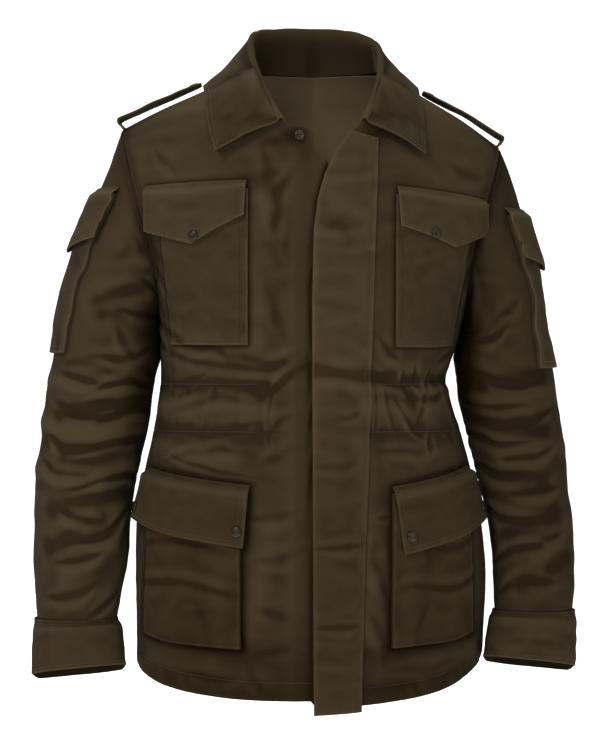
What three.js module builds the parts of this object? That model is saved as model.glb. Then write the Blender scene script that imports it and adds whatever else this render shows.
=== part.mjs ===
// Field jacket that stands open and hollow, as if worn by no one. Sizes are in millimetres.
// The front faces -Y, up is +Z, and the wearer's right arm is on the -X side.
// The origin is the middle of the neck opening, where the wearer's shoulders carry the jacket.

import * as THREE from 'three';

// Cloth and seams
const WALL = 1.8;
const DOUBLE_WALL = 2.6;
const SEAM_GAP = 0.4;
const LIFT = 0.9;
const UNDERLAP_DROP = 3.4;
const UNDERLAP_START = -24;
const UNDERLAP_FULL = -4;
const DEGREE = Math.PI / 180;
const RIGHT = -1;
const LEFT = 1;

// Colours of the twill and of the metal fasteners
const TWILL = 0x3a3122;
const TWILL_LIGHT = 0x443b2a;
const TWILL_DARK = 0x342b1c;
const METAL = 0x2a241b;

// Table reading: the first column is the key, the others follow a smooth curve through the rows
function table(columns, rows) {
  const last = rows.length - 1;
  const slope = (k, c) => {
    const low = Math.max(k - 1, 0);
    const high = Math.min(k + 1, last);
    return (rows[high][c] - rows[low][c]) / (rows[high][0] - rows[low][0]);
  };
  return (key) => {
    let i = 0;
    while (i < last - 1 && key > rows[i + 1][0]) i += 1;
    const step = rows[i + 1][0] - rows[i][0];
    const t = THREE.MathUtils.clamp((key - rows[i][0]) / step, 0, 1);
    const result = {};
    columns.forEach((name, c) => {
      result[name] = hermite(rows[i][c], rows[i + 1][c], slope(i, c) * step, slope(i + 1, c) * step, t);
    });
    return result;
  };
}

function hermite(start, end, startSlope, endSlope, t) {
  const t2 = t * t;
  const t3 = t2 * t;
  return start * (2 * t3 - 3 * t2 + 1) + startSlope * (t3 - 2 * t2 + t)
    + end * (3 * t2 - 2 * t3) + endSlope * (t3 - t2);
}

function mix(a, b, t) {
  return a + (b - a) * t;
}

// Smooth step from 0 at one value to 1 at another, in either direction
function ease(from, to, value) {
  const t = THREE.MathUtils.clamp((value - from) / (to - from), 0, 1);
  return t * t * (3 - 2 * t);
}

// Straight reading of a table, for edges with corners
function polyline(rows, key) {
  let i = 0;
  while (i < rows.length - 2 && key > rows[i + 1][0]) i += 1;
  const t = THREE.MathUtils.clamp((key - rows[i][0]) / (rows[i + 1][0] - rows[i][0]), 0, 1);
  return rows[i].map((value, c) => mix(value, rows[i + 1][c], t));
}

// Torso: a level section at each height, with its half widths to the wearer's right and left,
// its depth in front of and behind the side seams, and the depth of the seams themselves
const torsoSection = table(
  ['z', 'right', 'left', 'front', 'back', 'middle'],
  [
    [-745, 211, 206, 128, 110, 0],
    [-660, 213, 208, 130, 112, 0],
    [-580, 214, 211, 131, 112, 0],
    [-515, 213, 205, 128, 110, 0],
    [-460, 204, 194, 123, 106, 0],
    [-415, 194, 182, 118, 100, 0],
    [-375, 187, 169, 115, 97, 0],
    [-345, 184, 163, 114, 96, 0],
    [-300, 185, 178, 119, 101, 0],
    [-255, 188, 189, 125, 108, 1],
    [-205, 203, 204, 129, 113, 3],
    [-150, 222, 221, 129, 115, 6],
    [-100, 234, 233, 125, 112, 8],
    [-50, 241, 240, 119, 108, 9],
    [70, 244, 244, 110, 102, 9],
  ],
);
const FULLNESS = 2.4;
const SHOULDER_ROUND = 112;

// Height of the shoulder seam above each distance from the middle
const shoulderLine = table(
  ['out', 'right', 'left'],
  [
    [0, 63, 63],
    [45, 47, 48],
    [85, 26, 27],
    [135, 4, -2],
    [185, -18, -32],
    [232, -42, -66],
    [260, -58, -84],
  ],
);
const NECK_POINT_X = 85;
const ARMPIT_Z = -262;
const TIP_Z = { [RIGHT]: -42, [LEFT]: -66 };

// Height of the hem by the turn from the centre front, on each side
const hemLine = table(
  ['turn', 'right', 'left'],
  [
    [0, -722, -731],
    [20, -720, -726],
    [45, -712, -714],
    [70, -698, -690],
    [90, -684, -674],
    [135, -690, -686],
    [180, -694, -694],
  ],
);

// Turn of the armhole seam from the centre, by its rise from the armpit to the shoulder tip
const armholeTurn = table(
  ['rise', 'turn'],
  [
    [0, 90],
    [0.06, 80],
    [0.15, 72.5],
    [0.3, 68],
    [0.5, 66],
    [0.75, 68],
    [1, 72],
  ],
);

// Largest folds of the fronts and back, each from one end to the other on the front view
const FOLD_COLUMNS = ['side', 'x1', 'z1', 'x2', 'z2', 'height', 'width'];
const TORSO_FOLDS = [
  ['front', -2, -331, -60, -362, -4.0, 16],
  ['front', -62, -352, -182, -352, -3.0, 16],
  ['front', -62, -412, -186, -408, -3.0, 16],
  ['front', -62, -380, -184, -378, 4.0, 16],
  ['front', -96, -440, -190, -418, 3.5, 16],
  ['front', 66, -340, 116, -362, -4.0, 16],
  ['front', 108, -346, 150, -356, 3.0, 16],
  ['front', 70, -412, 165, -412, -3.0, 16],
  ['front', 70, -380, 160, -382, 4.0, 16],
  ['front', 118, -350, 126, -400, -3.5, 16],
  ['front', -50, -520, -72, -640, 3.0, 16],
  ['front', 58, -420, 66, -640, 3.0, 14],
  ['front', -60, -690, -190, -672, 3.0, 14],
  ['front', 80, -690, 190, -664, 3.0, 14],
  ['front', -60, -140, -64, -300, 3.0, 14],
  ['back', -150, -352, 150, -352, -3.0, 16],
  ['back', -150, -412, 150, -412, -3.0, 16],
  ['back', -120, -382, 130, -382, 4.0, 16],
  ['back', -150, -210, -60, -330, 4.0, 18],
  ['back', 150, -210, 70, -325, 4.0, 18],
  ['back', -90, -470, -110, -640, 4.0, 20],
  ['back', 80, -470, 105, -640, 4.0, 20],
];
const GIRTH_PER_DEGREE = 3.1;

function sideName(side) {
  return side < 0 ? 'right' : 'left';
}

function shoulderHeight(x) {
  return shoulderLine(Math.abs(x))[sideName(x)];
}

function shoulderEase(x, z) {
  const t = THREE.MathUtils.clamp((shoulderHeight(x) - z) / SHOULDER_ROUND, 0, 1);
  return Math.sqrt(1 - (1 - t) * (1 - t));
}

// Turn of a point that is x from the middle, in front unless it is behind
function turnAt(x, z, behind = false) {
  const section = torsoSection(z);
  const share = Math.min(Math.abs(x) / section[sideName(x)], 1);
  const turn = Math.sign(x) * Math.asin(Math.pow(share, FULLNESS / 2)) / DEGREE;
  return behind ? Math.sign(x || 1) * 180 - turn : turn;
}

function torsoBase(turn, z) {
  const section = torsoSection(z);
  const sine = Math.sin(turn * DEGREE);
  const cosine = Math.cos(turn * DEGREE);
  const x = Math.sign(sine) * section[sideName(sine)] * Math.pow(Math.abs(sine), 2 / FULLNESS);
  const face = cosine > 1e-9 || Math.abs(turn) < 90 ? -1 : 1;
  const depth = face < 0 ? section.front : section.back;
  const reach = depth * Math.pow(Math.abs(cosine), 2 / FULLNESS) * shoulderEase(x, z);
  return new THREE.Vector3(x, section.middle + face * (reach + SEAM_GAP / 2), z);
}

// Outward direction of the torso, from the slope of its section formula
function torsoNormal(p, face) {
  const value = (x, y, z) => {
    const section = torsoSection(z);
    const across = Math.max(1 - Math.pow(Math.abs(x) / section[sideName(x)], FULLNESS), 0);
    const depth = face < 0 ? section.front : section.back;
    const turned = shoulderEase(x, z);
    return ((y - section.middle) / depth) ** 2 - Math.pow(across, 2 / FULLNESS) * turned * turned;
  };
  const h = 0.4;
  const y = p.y - face * SEAM_GAP / 2;
  return new THREE.Vector3(
    value(p.x + h, y, p.z) - value(p.x - h, y, p.z),
    value(p.x, y + h, p.z) - value(p.x, y - h, p.z),
    value(p.x, y, p.z + h) - value(p.x, y, p.z - h),
  ).normalize();
}

// Height of soft ridges and troughs at a place, each fading at its ends
function foldHeight(folds, across, up) {
  let height = 0;
  for (const fold of folds) {
    const dx = fold.x2 - fold.x1;
    const dz = fold.z2 - fold.z1;
    const length = Math.hypot(dx, dz);
    const along = ((across - fold.x1) * dx + (up - fold.z1) * dz) / length;
    const aside = ((across - fold.x1) * dz - (up - fold.z1) * dx) / length;
    const beyond = Math.max(-along, along - length, 0);
    const reach = (aside * aside + beyond * beyond) / (fold.width * fold.width);
    if (reach < 9) height += fold.height * Math.exp(-reach);
  }
  return height;
}

const torsoFolds = TORSO_FOLDS.map((row) => {
  const fold = Object.fromEntries(FOLD_COLUMNS.map((name, c) => [name, row[c]]));
  const behind = fold.side === 'back';
  fold.x1 = girthOf(turnAt(fold.x1, fold.z1, behind));
  fold.x2 = girthOf(turnAt(fold.x2, fold.z2, behind));
  return fold;
});

function girthOf(turn) {
  const positive = turn < -120 ? turn + 360 : turn;
  return positive * GIRTH_PER_DEGREE;
}

// Point on the torso, moved out by a distance
function torsoPoint(turn, z, out) {
  const base = torsoBase(turn, z);
  const face = Math.abs(turn) < 90 ? -1 : 1;
  const seamFade = ease(0, 22, Math.abs(Math.abs(turn) - 90)) * ease(0, 60, shoulderHeight(base.x) - z);
  const folds = foldHeight(torsoFolds, girthOf(turn), z) * seamFade;
  return base.addScaledVector(torsoNormal(base, face), folds + out);
}

// Patch between four edges of turn and height: two run along u, at v = 0 and 1,
// and two along v, at u = 0 and 1
function patch(bottom, top, inner, outer) {
  const blend = (c, u, v) => mix(bottom(u)[c], top(u)[c], v) + mix(inner(v)[c], outer(v)[c], u)
    - mix(mix(inner(0)[c], outer(0)[c], u), mix(inner(1)[c], outer(1)[c], u), v);
  return (u, v) => [blend(0, u, v), blend(1, u, v)];
}

// Grid of points from a function of u and v
function gridOf(columns, rows, point) {
  const grid = [];
  for (let j = 0; j <= rows; j += 1) {
    const line = [];
    for (let i = 0; i <= columns; i += 1) line.push(point(i / columns, j / rows));
    grid.push(line);
  }
  return grid;
}

// Closed solid between two grids; a closed one runs round in u, and its last column is its first
function wallGeometry(outer, inner, closed = false) {
  const rows = outer.length;
  const columns = outer[0].length - (closed ? 1 : 0);
  const positions = [];
  for (const grid of [outer, inner]) {
    for (let j = 0; j < rows; j += 1) {
      for (let i = 0; i < columns; i += 1) positions.push(...grid[j][i].toArray());
    }
  }
  const id = (face, j, i) => face * rows * columns + j * columns + (i % columns);
  const triangles = [];
  const quad = (a, b, c, d) => triangles.push(a, b, c, a, c, d);
  const spans = closed ? columns : columns - 1;
  for (let j = 0; j < rows - 1; j += 1) {
    for (let i = 0; i < spans; i += 1) {
      quad(id(0, j, i), id(0, j, i + 1), id(0, j + 1, i + 1), id(0, j + 1, i));
      triangles.push(id(1, j, i), id(1, j + 1, i + 1), id(1, j, i + 1));
      triangles.push(id(1, j, i), id(1, j + 1, i), id(1, j + 1, i + 1));
    }
  }
  for (let i = 0; i < spans; i += 1) {
    quad(id(0, 0, i + 1), id(0, 0, i), id(1, 0, i), id(1, 0, i + 1));
    quad(id(0, rows - 1, i), id(0, rows - 1, i + 1), id(1, rows - 1, i + 1), id(1, rows - 1, i));
  }
  if (!closed) {
    for (let j = 0; j < rows - 1; j += 1) {
      quad(id(0, j, 0), id(0, j + 1, 0), id(1, j + 1, 0), id(1, j, 0));
      const end = columns - 1;
      quad(id(0, j + 1, end), id(0, j, end), id(1, j, end), id(1, j + 1, end));
    }
  }
  const geometry = new THREE.BufferGeometry();
  geometry.setAttribute('position', new THREE.Float32BufferAttribute(positions, 3));
  geometry.setIndex(facingOut(positions, triangles));
  geometry.computeVertexNormals();
  return geometry;
}

// Triangles in the order that faces them out, judged by the sign of the enclosed volume
function facingOut(positions, triangles) {
  const corner = (k) => new THREE.Vector3().fromArray(positions, triangles[k] * 3);
  let volume = 0;
  for (let k = 0; k < triangles.length; k += 3) {
    volume += corner(k).dot(corner(k + 1).cross(corner(k + 2)));
  }
  if (volume > 0) return triangles;
  const turned = [];
  for (let k = 0; k < triangles.length; k += 3) {
    turned.push(triangles[k], triangles[k + 2], triangles[k + 1]);
  }
  return turned;
}

const jacket = new THREE.Group();

function add(name, geometry, color, roughness = 0.9, metalness = 0) {
  const mesh = new THREE.Mesh(geometry, new THREE.MeshStandardMaterial({ color, roughness, metalness }));
  mesh.name = name;
  jacket.add(mesh);
  return mesh;
}

// Neckline and centre edge of each front, by share of the panel's height: x and z of the edge
const PANEL_ROWS = 30;
const PANEL_COLUMNS = 15;
const BACK_COLUMNS = 20;
const ARMPIT_ROW = 20;
const PANEL_HEIGHT = 760;
const SEARCH_STEPS = 60;
const FILL_MARGIN = 0.008;
const FLAP_COLUMNS = 3;
const FLAP_TOP_ROW = 27;
const frontEdges = {
  [RIGHT]: [
    [0, 30, -722],
    [ARMPIT_ROW, 30, ARMPIT_Z],
    [23, 30, -172],
    [24, 30, -134],
    [25, 25, -106],
    [26, 12, -79],
    [27, -2, -51],
    [28, -34, -43],
    [29, -72, -16],
    [30, -NECK_POINT_X, 26],
  ],
  [LEFT]: [
    [0, 4, -733],
    [ARMPIT_ROW, 2, ARMPIT_Z],
    [23, 4, -172],
    [24, 9, -134],
    [25, 17, -106],
    [26, 30, -80],
    [27, 47, -55],
    [28, 64, -38],
    [29, 79, -8],
    [30, NECK_POINT_X, 27],
  ],
};

function hemHeight(turn) {
  return hemLine(Math.abs(turn))[turn < 0 ? 'right' : 'left'];
}

function armholeEdge(side, rise, behind) {
  const turn = side * armholeTurn(rise).turn;
  const z = mix(ARMPIT_Z, TIP_Z[side], rise);
  return [behind ? side * 180 - turn : turn, z];
}

// Side seam from the hem to the armpit, then the armhole up to the shoulder tip
function sideEdge(side, v, behind) {
  const armpit = ARMPIT_ROW / PANEL_ROWS;
  if (v <= armpit) {
    const z = mix(hemHeight(side * 90), ARMPIT_Z, v / armpit);
    return [side * (behind ? 90.0001 : 89.9999), z];
  }
  const rise = (1 - Math.cos(((v - armpit) / (1 - armpit)) * Math.PI)) / 2;
  return armholeEdge(side, rise, behind);
}

function shoulderSeam(side, share, behind) {
  const tip = torsoBase(armholeEdge(side, 1, false)[0], TIP_Z[side]).x;
  const x = mix(side * NECK_POINT_X, tip, share);
  const z = shoulderHeight(x);
  return [turnAt(x, z, behind), z];
}

function frontPatch(side) {
  const edge = frontEdges[side];
  const inner = (v) => {
    const [, x, z] = polyline(edge, v * PANEL_ROWS);
    return [turnAt(x, z), z];
  };
  const outer = (v) => sideEdge(side, v, false);
  const bottom = (u) => {
    const turn = mix(inner(0)[0], outer(0)[0], u);
    return [turn, hemHeight(turn)];
  };
  const top = (u) => shoulderSeam(side, u, false);
  const plain = patch(bottom, top, inner, outer);
  if (side === RIGHT) return plain;
  const seamShare = FLAP_COLUMNS / PANEL_COLUMNS;
  return (u, v) => {
    const [turn, z] = plain(u, v);
    const [turnThere, zThere] = plain(seamShare, v);
    const shift = turnAt(flapSeam(zThere).x, zThere) - turnThere;
    const share = u < seamShare ? u / seamShare : (1 - u) / (1 - seamShare);
    return [turn + shift * share * ease(1, 0.9, v), z];
  };
}

// Seam line of the storm flap on the wearer's left front
const flapSeam = table(
  ['z', 'x'],
  [
    [-740, 57],
    [-560, 61],
    [-380, 68],
    [-230, 72],
    [-120, 76],
    [-40, 80],
    [30, 100],
  ],
);

// The wearer's right front passes under the left one, past the middle
function underlap(side, x) {
  return side === RIGHT ? -UNDERLAP_DROP * ease(UNDERLAP_START, UNDERLAP_FULL, x) : 0;
}

const fronts = {};

function makeFront(side) {
  const place = frontPatch(side);
  const point = (out) => (u, v) => {
    const [turn, z] = place(u, v);
    const base = torsoPoint(turn, z, out);
    const face = torsoNormal(torsoBase(turn, z), -1);
    return base.addScaledVector(face, underlap(side, base.x));
  };
  const outer = gridOf(PANEL_COLUMNS, PANEL_ROWS, point(0));
  const inner = gridOf(PANEL_COLUMNS, PANEL_ROWS, point(-WALL));
  fronts[side] = { place, outer };
  add(`front_${sideName(side)}`, wallGeometry(outer, inner), TWILL);
}

// Point on a grid's own facets
function facetPoint(grid, u, v) {
  const rows = grid.length - 1;
  const columns = grid[0].length - 1;
  const i = Math.min(Math.floor(u * columns), columns - 1);
  const j = Math.min(Math.floor(v * rows), rows - 1);
  const fu = u * columns - i;
  const fv = v * rows - j;
  const [near, far] = [grid[j], grid[j + 1]];
  const point = near[i].clone();
  if (fu >= fv) {
    return point.lerp(near[i + 1], fu).add(far[i + 1].clone().sub(near[i + 1]).multiplyScalar(fv));
  }
  return point.lerp(far[i], fv).add(far[i + 1].clone().sub(far[i]).multiplyScalar(fu));
}

// Shares u and v of a front panel at x and z of the front view
function panelShare(side, [x, z]) {
  const { place } = fronts[side];
  const turn = turnAt(side * x, z);
  let u = 0.5;
  let v = 0.5;
  for (let step = 0; step < SEARCH_STEPS; step += 1) {
    const [turnHere, zHere] = place(u, v);
    u = THREE.MathUtils.clamp(u + (turn - turnHere) / (side * 90), 0, 1);
    v = THREE.MathUtils.clamp(v + (z - zHere) / PANEL_HEIGHT, 0, 1);
  }
  return [u, v];
}

// Point over a front panel's own facets, moved out
function overFront(side, u, v, out) {
  const [turn, z] = fronts[side].place(u, v);
  const face = torsoNormal(torsoBase(turn, z), -1);
  return facetPoint(fronts[side].outer, u, v).addScaledVector(face, out);
}

// Solid laid on a front: its columns follow the panel's own, so that their facets run alike.
// Corners are x and z on the front view; s runs from the inner edge, t from the lower one.
function laidLayers(side, corners, rows, low, high) {
  const [topIn, topOut, lowIn, tip, lowOut] = corners;
  const between = (a, b, t) => [mix(a[0], b[0], t), mix(a[1], b[1], t)];
  const ends = rows.map((t) => [
    panelShare(side, between(lowIn, topIn, t)),
    panelShare(side, between(lowOut, topOut, t)),
  ]);
  const inners = ends.map(([inner]) => inner[0]);
  const outers = ends.map(([, outer]) => outer[0]);
  const columns = [];
  for (let k = 1; k < PANEL_COLUMNS; k += 1) {
    const u = k / PANEL_COLUMNS;
    const inside = u > Math.max(...inners) + FILL_MARGIN && u < Math.min(...outers) - FILL_MARGIN;
    if (inside) columns.push(u);
  }
  const innerSteps = Math.ceil((columns[0] - Math.min(...inners)) * PANEL_COLUMNS);
  const outerSteps = Math.ceil((Math.max(...outers) - columns.at(-1)) * PANEL_COLUMNS);
  const fill = (from, to, steps) => Array.from({ length: steps }, (_, k) => mix(from, to, k / steps));
  const acrossRow = (inner, outer) => [
    ...fill(inner, columns[0], innerSteps),
    ...columns.slice(0, -1),
    ...fill(columns.at(-1), outer, outerSteps),
    outer,
  ];
  const tipShare = (tip[0] - lowIn[0]) / (lowOut[0] - lowIn[0]);
  const tipDrop = (mix(lowIn[1], lowOut[1], tipShare) - tip[1]) / PANEL_HEIGHT;
  const layer = (rise) => rows.map((t, j) => {
    const [inner, outer] = ends[j];
    return acrossRow(inner[0], outer[0]).map((u) => {
      const s = (u - inner[0]) / (outer[0] - inner[0]);
      const drop = s < tipShare ? s / tipShare : (1 - s) / (1 - tipShare);
      return overFront(side, u, mix(inner[1], outer[1], s) - tipDrop * drop * (1 - t), rise(s, t));
    });
  });
  return [layer(high), layer(low)];
}

// Back: one panel from side seam to side seam, up to both shoulder seams and the back neckline
const SHOULDER_SHARE = 0.3;
const BACK_NECK_Z = 32;

function backPatch() {
  const inner = (v) => {
    const [turn, z] = sideEdge(LEFT, v, true);
    return [turn, z];
  };
  const outer = (v) => {
    const [turn, z] = sideEdge(RIGHT, v, true);
    return [turn + 360, z];
  };
  const bottom = (u) => {
    const turn = mix(90, 270, u);
    return [turn, hemHeight(turn > 180 ? turn - 360 : turn)];
  };
  const top = (u) => {
    if (u < SHOULDER_SHARE) return shoulderSeam(LEFT, 1 - u / SHOULDER_SHARE, true);
    if (u > 1 - SHOULDER_SHARE) {
      const [turn, z] = shoulderSeam(RIGHT, 1 - (1 - u) / SHOULDER_SHARE, true);
      return [turn + 360, z];
    }
    const share = (u - SHOULDER_SHARE) / (1 - 2 * SHOULDER_SHARE);
    const x = mix(NECK_POINT_X, -NECK_POINT_X, share);
    const z = backNeckHeight(x);
    const turn = turnAt(x, z, true);
    return [turn < 0 ? turn + 360 : turn, z];
  };
  return patch(bottom, top, inner, outer);
}

function backNeckHeight(x) {
  const share = Math.abs(x) / NECK_POINT_X;
  return mix(BACK_NECK_Z, shoulderHeight(Math.sign(x || 1) * NECK_POINT_X), share ** 4);
}

function addBack() {
  const place = backPatch();
  const point = (out) => (u, v) => {
    const [turn, z] = place(u, v);
    return torsoPoint(turn > 180 ? turn - 360 : turn, z, out);
  };
  const outer = gridOf(BACK_COLUMNS, PANEL_ROWS, point(0));
  const inner = gridOf(BACK_COLUMNS, PANEL_ROWS, point(-WALL));
  add('back', wallGeometry(outer, inner), TWILL);
}

// Sleeves: level rings below the cap, with the outer and inner distance from the middle,
// the depth of the ring's centre and its half depth
const sleeveRing = {
  [RIGHT]: table(
    ['z', 'outer', 'inner', 'middle', 'depth'],
    [
      [-640, 331, 236, -34, 38],
      [-600, 335, 229, -29, 47],
      [-555, 337, 222, -21, 54],
      [-518, 337, 221, -14, 59],
      [-482, 337, 217, -8, 63],
      [-445, 334, 209, -4, 66],
      [-408, 328, 200, -1, 68],
      [-372, 325, 195, 1, 69],
      [-335, 318, 191, 2, 71],
      [-290, 310, 192, 3, 74],
    ],
  ),
  [LEFT]: table(
    ['z', 'outer', 'inner', 'middle', 'depth'],
    [
      [-640, 312, 221, -34, 38],
      [-600, 316, 219, -29, 47],
      [-555, 317, 218, -21, 54],
      [-518, 316, 213, -14, 59],
      [-482, 312, 206, -8, 63],
      [-445, 309, 197, -4, 66],
      [-408, 304, 188, -1, 68],
      [-372, 298, 178, 1, 69],
      [-335, 293, 177, 2, 71],
      [-290, 283, 187, 3, 74],
    ],
  ),
};
const RING_TOP = -290;
const SLEEVE_END = { [RIGHT]: -640, [LEFT]: -630 };
const SLEEVE_FULLNESS = 2.2;
const CAP_SHARE = 0.38;
const CAP_SPREAD = { [RIGHT]: 0.34, [LEFT]: 0.4 };
const CAP_SPREAD_LOW = 0.3;
const CAP_FORWARD = 0.4;
const CAP_ARRIVAL = 0.08;
const SLEEVE_RADIUS = 62;
const SLEEVE_COLUMNS = 20;
const SLEEVE_ROWS = 20;

// Folds of the sleeves: x1 and x2 are turns from the outermost line towards the front
const SLEEVE_FOLDS = [
  [RIGHT, 130, -235, 80, -250, -3.5, 11],
  [RIGHT, 140, -262, 90, -268, -3.5, 11],
  [RIGHT, 30, -345, 110, -362, 4.5, 15],
  [RIGHT, 60, -385, 150, -372, -5.0, 13],
  [RIGHT, 20, -398, 120, -412, 4.5, 14],
  [RIGHT, 70, -436, 160, -424, -5.0, 13],
  [RIGHT, 25, -452, 110, -470, 4.0, 14],
  [RIGHT, 60, -500, 150, -478, -5.0, 14],
  [RIGHT, 55, -545, 120, -515, -4.5, 14],
  [RIGHT, 80, -580, 130, -545, 3.5, 14],
  [LEFT, 120, -350, 50, -342, -4.5, 13],
  [LEFT, 40, -362, 130, -376, 4.5, 15],
  [LEFT, 60, -405, 150, -395, -5.0, 13],
  [LEFT, 30, -425, 120, -436, 4.0, 14],
  [LEFT, 70, -470, 150, -452, -4.5, 13],
  [LEFT, 60, -505, 130, -530, -5.0, 14],
  [LEFT, 40, -560, 110, -590, -4.0, 14],
  [LEFT, 40, -520, 90, -560, 3.5, 13],
];
const sleeveFolds = SLEEVE_FOLDS.map((row) => {
  const fold = Object.fromEntries(FOLD_COLUMNS.map((name, c) => [name, row[c]]));
  fold.x1 *= DEGREE * SLEEVE_RADIUS;
  fold.x2 *= DEGREE * SLEEVE_RADIUS;
  return fold;
});
const foldsOf = {
  [RIGHT]: sleeveFolds.filter((fold) => fold.side === RIGHT),
  [LEFT]: sleeveFolds.filter((fold) => fold.side === LEFT),
};

// Point of a level ring; around is 0 outermost, 90 in front and 180 next to the body
function ringPoint(side, around, z) {
  const ring = sleeveRing[side](z);
  const cosine = Math.cos(around * DEGREE);
  const sine = Math.sin(around * DEGREE);
  const halfWidth = (ring.outer - ring.inner) / 2;
  const round = (value) => Math.sign(value) * Math.pow(Math.abs(value), 2 / SLEEVE_FULLNESS);
  return new THREE.Vector3(
    side * ((ring.outer + ring.inner) / 2 + halfWidth * round(cosine)),
    ring.middle - ring.depth * round(sine),
    z,
  );
}

// Armhole seam at a turn of the sleeve: its point, the way out of the torso there,
// and the way off the panel's edge
function armholeSeam(side, around) {
  const edgePoint = (turn) => {
    const wrapped = ((turn % 360) + 360) % 360;
    const behind = wrapped > 180;
    const rise = (1 + Math.cos(wrapped * DEGREE)) / 2;
    const [place, z] = armholeEdge(side, rise, behind);
    return torsoBase(rise === 0 ? side * 89.9999 : place, z);
  };
  const point = edgePoint(around);
  const wrapped = ((around % 360) + 360) % 360;
  const face = torsoNormal(point, wrapped > 180 ? 1 : -1);
  const step = 4;
  const along = edgePoint(around + step).sub(edgePoint(around - step)).normalize();
  const off = new THREE.Vector3().crossVectors(along, face).multiplyScalar(-side).normalize();
  return { point, face, off };
}

// The sleeve leaves the seam in line with the panel at the top, and folded back on itself at the armpit
function foldBack(around) {
  const below = Math.abs(180 - (((around % 360) + 360) % 360));
  return Math.PI * (1 - ease(0, 75, below));
}

function seamStart(side, around) {
  const { point, face, off } = armholeSeam(side, around);
  const bend = foldBack(around);
  const gap = mix(1.6, 3.2, bend / Math.PI) * SEAM_GAP;
  const start = point.clone()
    .addScaledVector(off, gap * Math.cos(bend / 2))
    .addScaledVector(face, gap * Math.sin(bend / 2));
  const inward = face.clone().multiplyScalar(-Math.cos(bend)).addScaledVector(off, Math.sin(bend));
  return { start, inward, face };
}

function sleeveBase(side, around, along) {
  if (along >= CAP_SHARE) {
    const z = mix(RING_TOP, SLEEVE_END[side], (along - CAP_SHARE) / (1 - CAP_SHARE));
    return ringPoint(side, around, z);
  }
  const { start, face } = seamStart(side, around);
  const end = ringPoint(side, around, RING_TOP);
  const reach = start.distanceTo(end);
  const topShare = (1 + Math.cos(around * DEGREE)) / 2;
  const spread = mix(CAP_SPREAD_LOW, CAP_SPREAD[side], topShare);
  const forward = CAP_FORWARD * face.y * Math.sin(around * DEGREE) ** 2;
  const leave = new THREE.Vector3(side * spread, forward, -1).setLength(reach);
  const arrive = new THREE.Vector3(side * CAP_ARRIVAL, 0, -1).setLength(reach);
  const t = along / CAP_SHARE;
  return new THREE.Vector3(
    hermite(start.x, end.x, leave.x, arrive.x, t),
    hermite(start.y, end.y, leave.y, arrive.y, t),
    hermite(start.z, end.z, leave.z, arrive.z, t),
  );
}

function sleeveNormal(side, around, along) {
  const step = 0.004;
  const down = sleeveBase(side, around, along + step).sub(sleeveBase(side, around, along - step));
  const round = sleeveBase(side, around + 2, along).sub(sleeveBase(side, around - 2, along));
  return new THREE.Vector3().crossVectors(down, round).multiplyScalar(-side).normalize();
}

// Point on the sleeve moved out; its first ring follows the seam's own directions
function sleevePoint(side, around, along, out) {
  const seam = seamStart(side, around);
  if (along === 0) return seam.start.addScaledVector(seam.inward, -out);
  const point = sleeveBase(side, around, along);
  const turned = (((around + 90) % 360) + 360) % 360 - 90;
  const fade = ease(0, 0.2, along) * ease(0, 0.06, 1 - along);
  const folds = foldHeight(foldsOf[side], turned * DEGREE * SLEEVE_RADIUS, point.z) * fade;
  return point.addScaledVector(sleeveNormal(side, around, Math.max(along, 0.03)), folds + out);
}

function addSleeve(side) {
  const point = (out) => (u, v) => sleevePoint(side, u * 360, v, out);
  const outer = gridOf(SLEEVE_COLUMNS, SLEEVE_ROWS, point(0));
  const inner = gridOf(SLEEVE_COLUMNS, SLEEVE_ROWS, point(-WALL));
  sleeveGrids[side] = outer;
  add(`sleeve_${sideName(side)}`, wallGeometry(outer, inner, true), TWILL);
}

// Cuffs: bands over the sleeve's end, lower outside and behind as the forearm leans forward
const CUFF_HEIGHT = 62;
const CUFF_LAP = 7;
const CUFF_EASE = 3.2;
const CUFF_FLARE = 3.5;
const CUFF_LEAN = { [RIGHT]: 3, [LEFT]: 6 };
const CUFF_TILT_OUT = 6;
const CUFF_TILT_BACK = 7;
const CUFF_FORWARD = 6;
const CUFF_ROWS = 3;

function cuffPoint(side, around, down, out) {
  const end = SLEEVE_END[side];
  const cosine = Math.cos(around * DEGREE);
  const sine = Math.sin(around * DEGREE);
  const ring = sleeveRing[side](end);
  const spread = CUFF_EASE + DOUBLE_WALL + down * CUFF_FLARE;
  const base = ringPoint(side, around, end);
  const tilt = ease(0, 0.35, down) * (CUFF_TILT_OUT * cosine - CUFF_TILT_BACK * sine);
  const centre = new THREE.Vector3(side * (ring.outer + ring.inner) / 2, ring.middle, end);
  const outward = base.clone().sub(centre).normalize();
  base.addScaledVector(outward, spread + out);
  base.y -= down * CUFF_FORWARD;
  base.x -= side * down * CUFF_LEAN[side];
  base.z = end + CUFF_LAP - down * CUFF_HEIGHT - tilt;
  return base;
}

function addCuff(side) {
  const point = (out) => (u, v) => cuffPoint(side, u * 360, v, out);
  const outer = gridOf(SLEEVE_COLUMNS, CUFF_ROWS, point(0));
  const inner = gridOf(SLEEVE_COLUMNS, CUFF_ROWS, point(-DOUBLE_WALL));
  add(`cuff_${sideName(side)}`, wallGeometry(outer, inner, true), TWILL);
}

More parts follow.
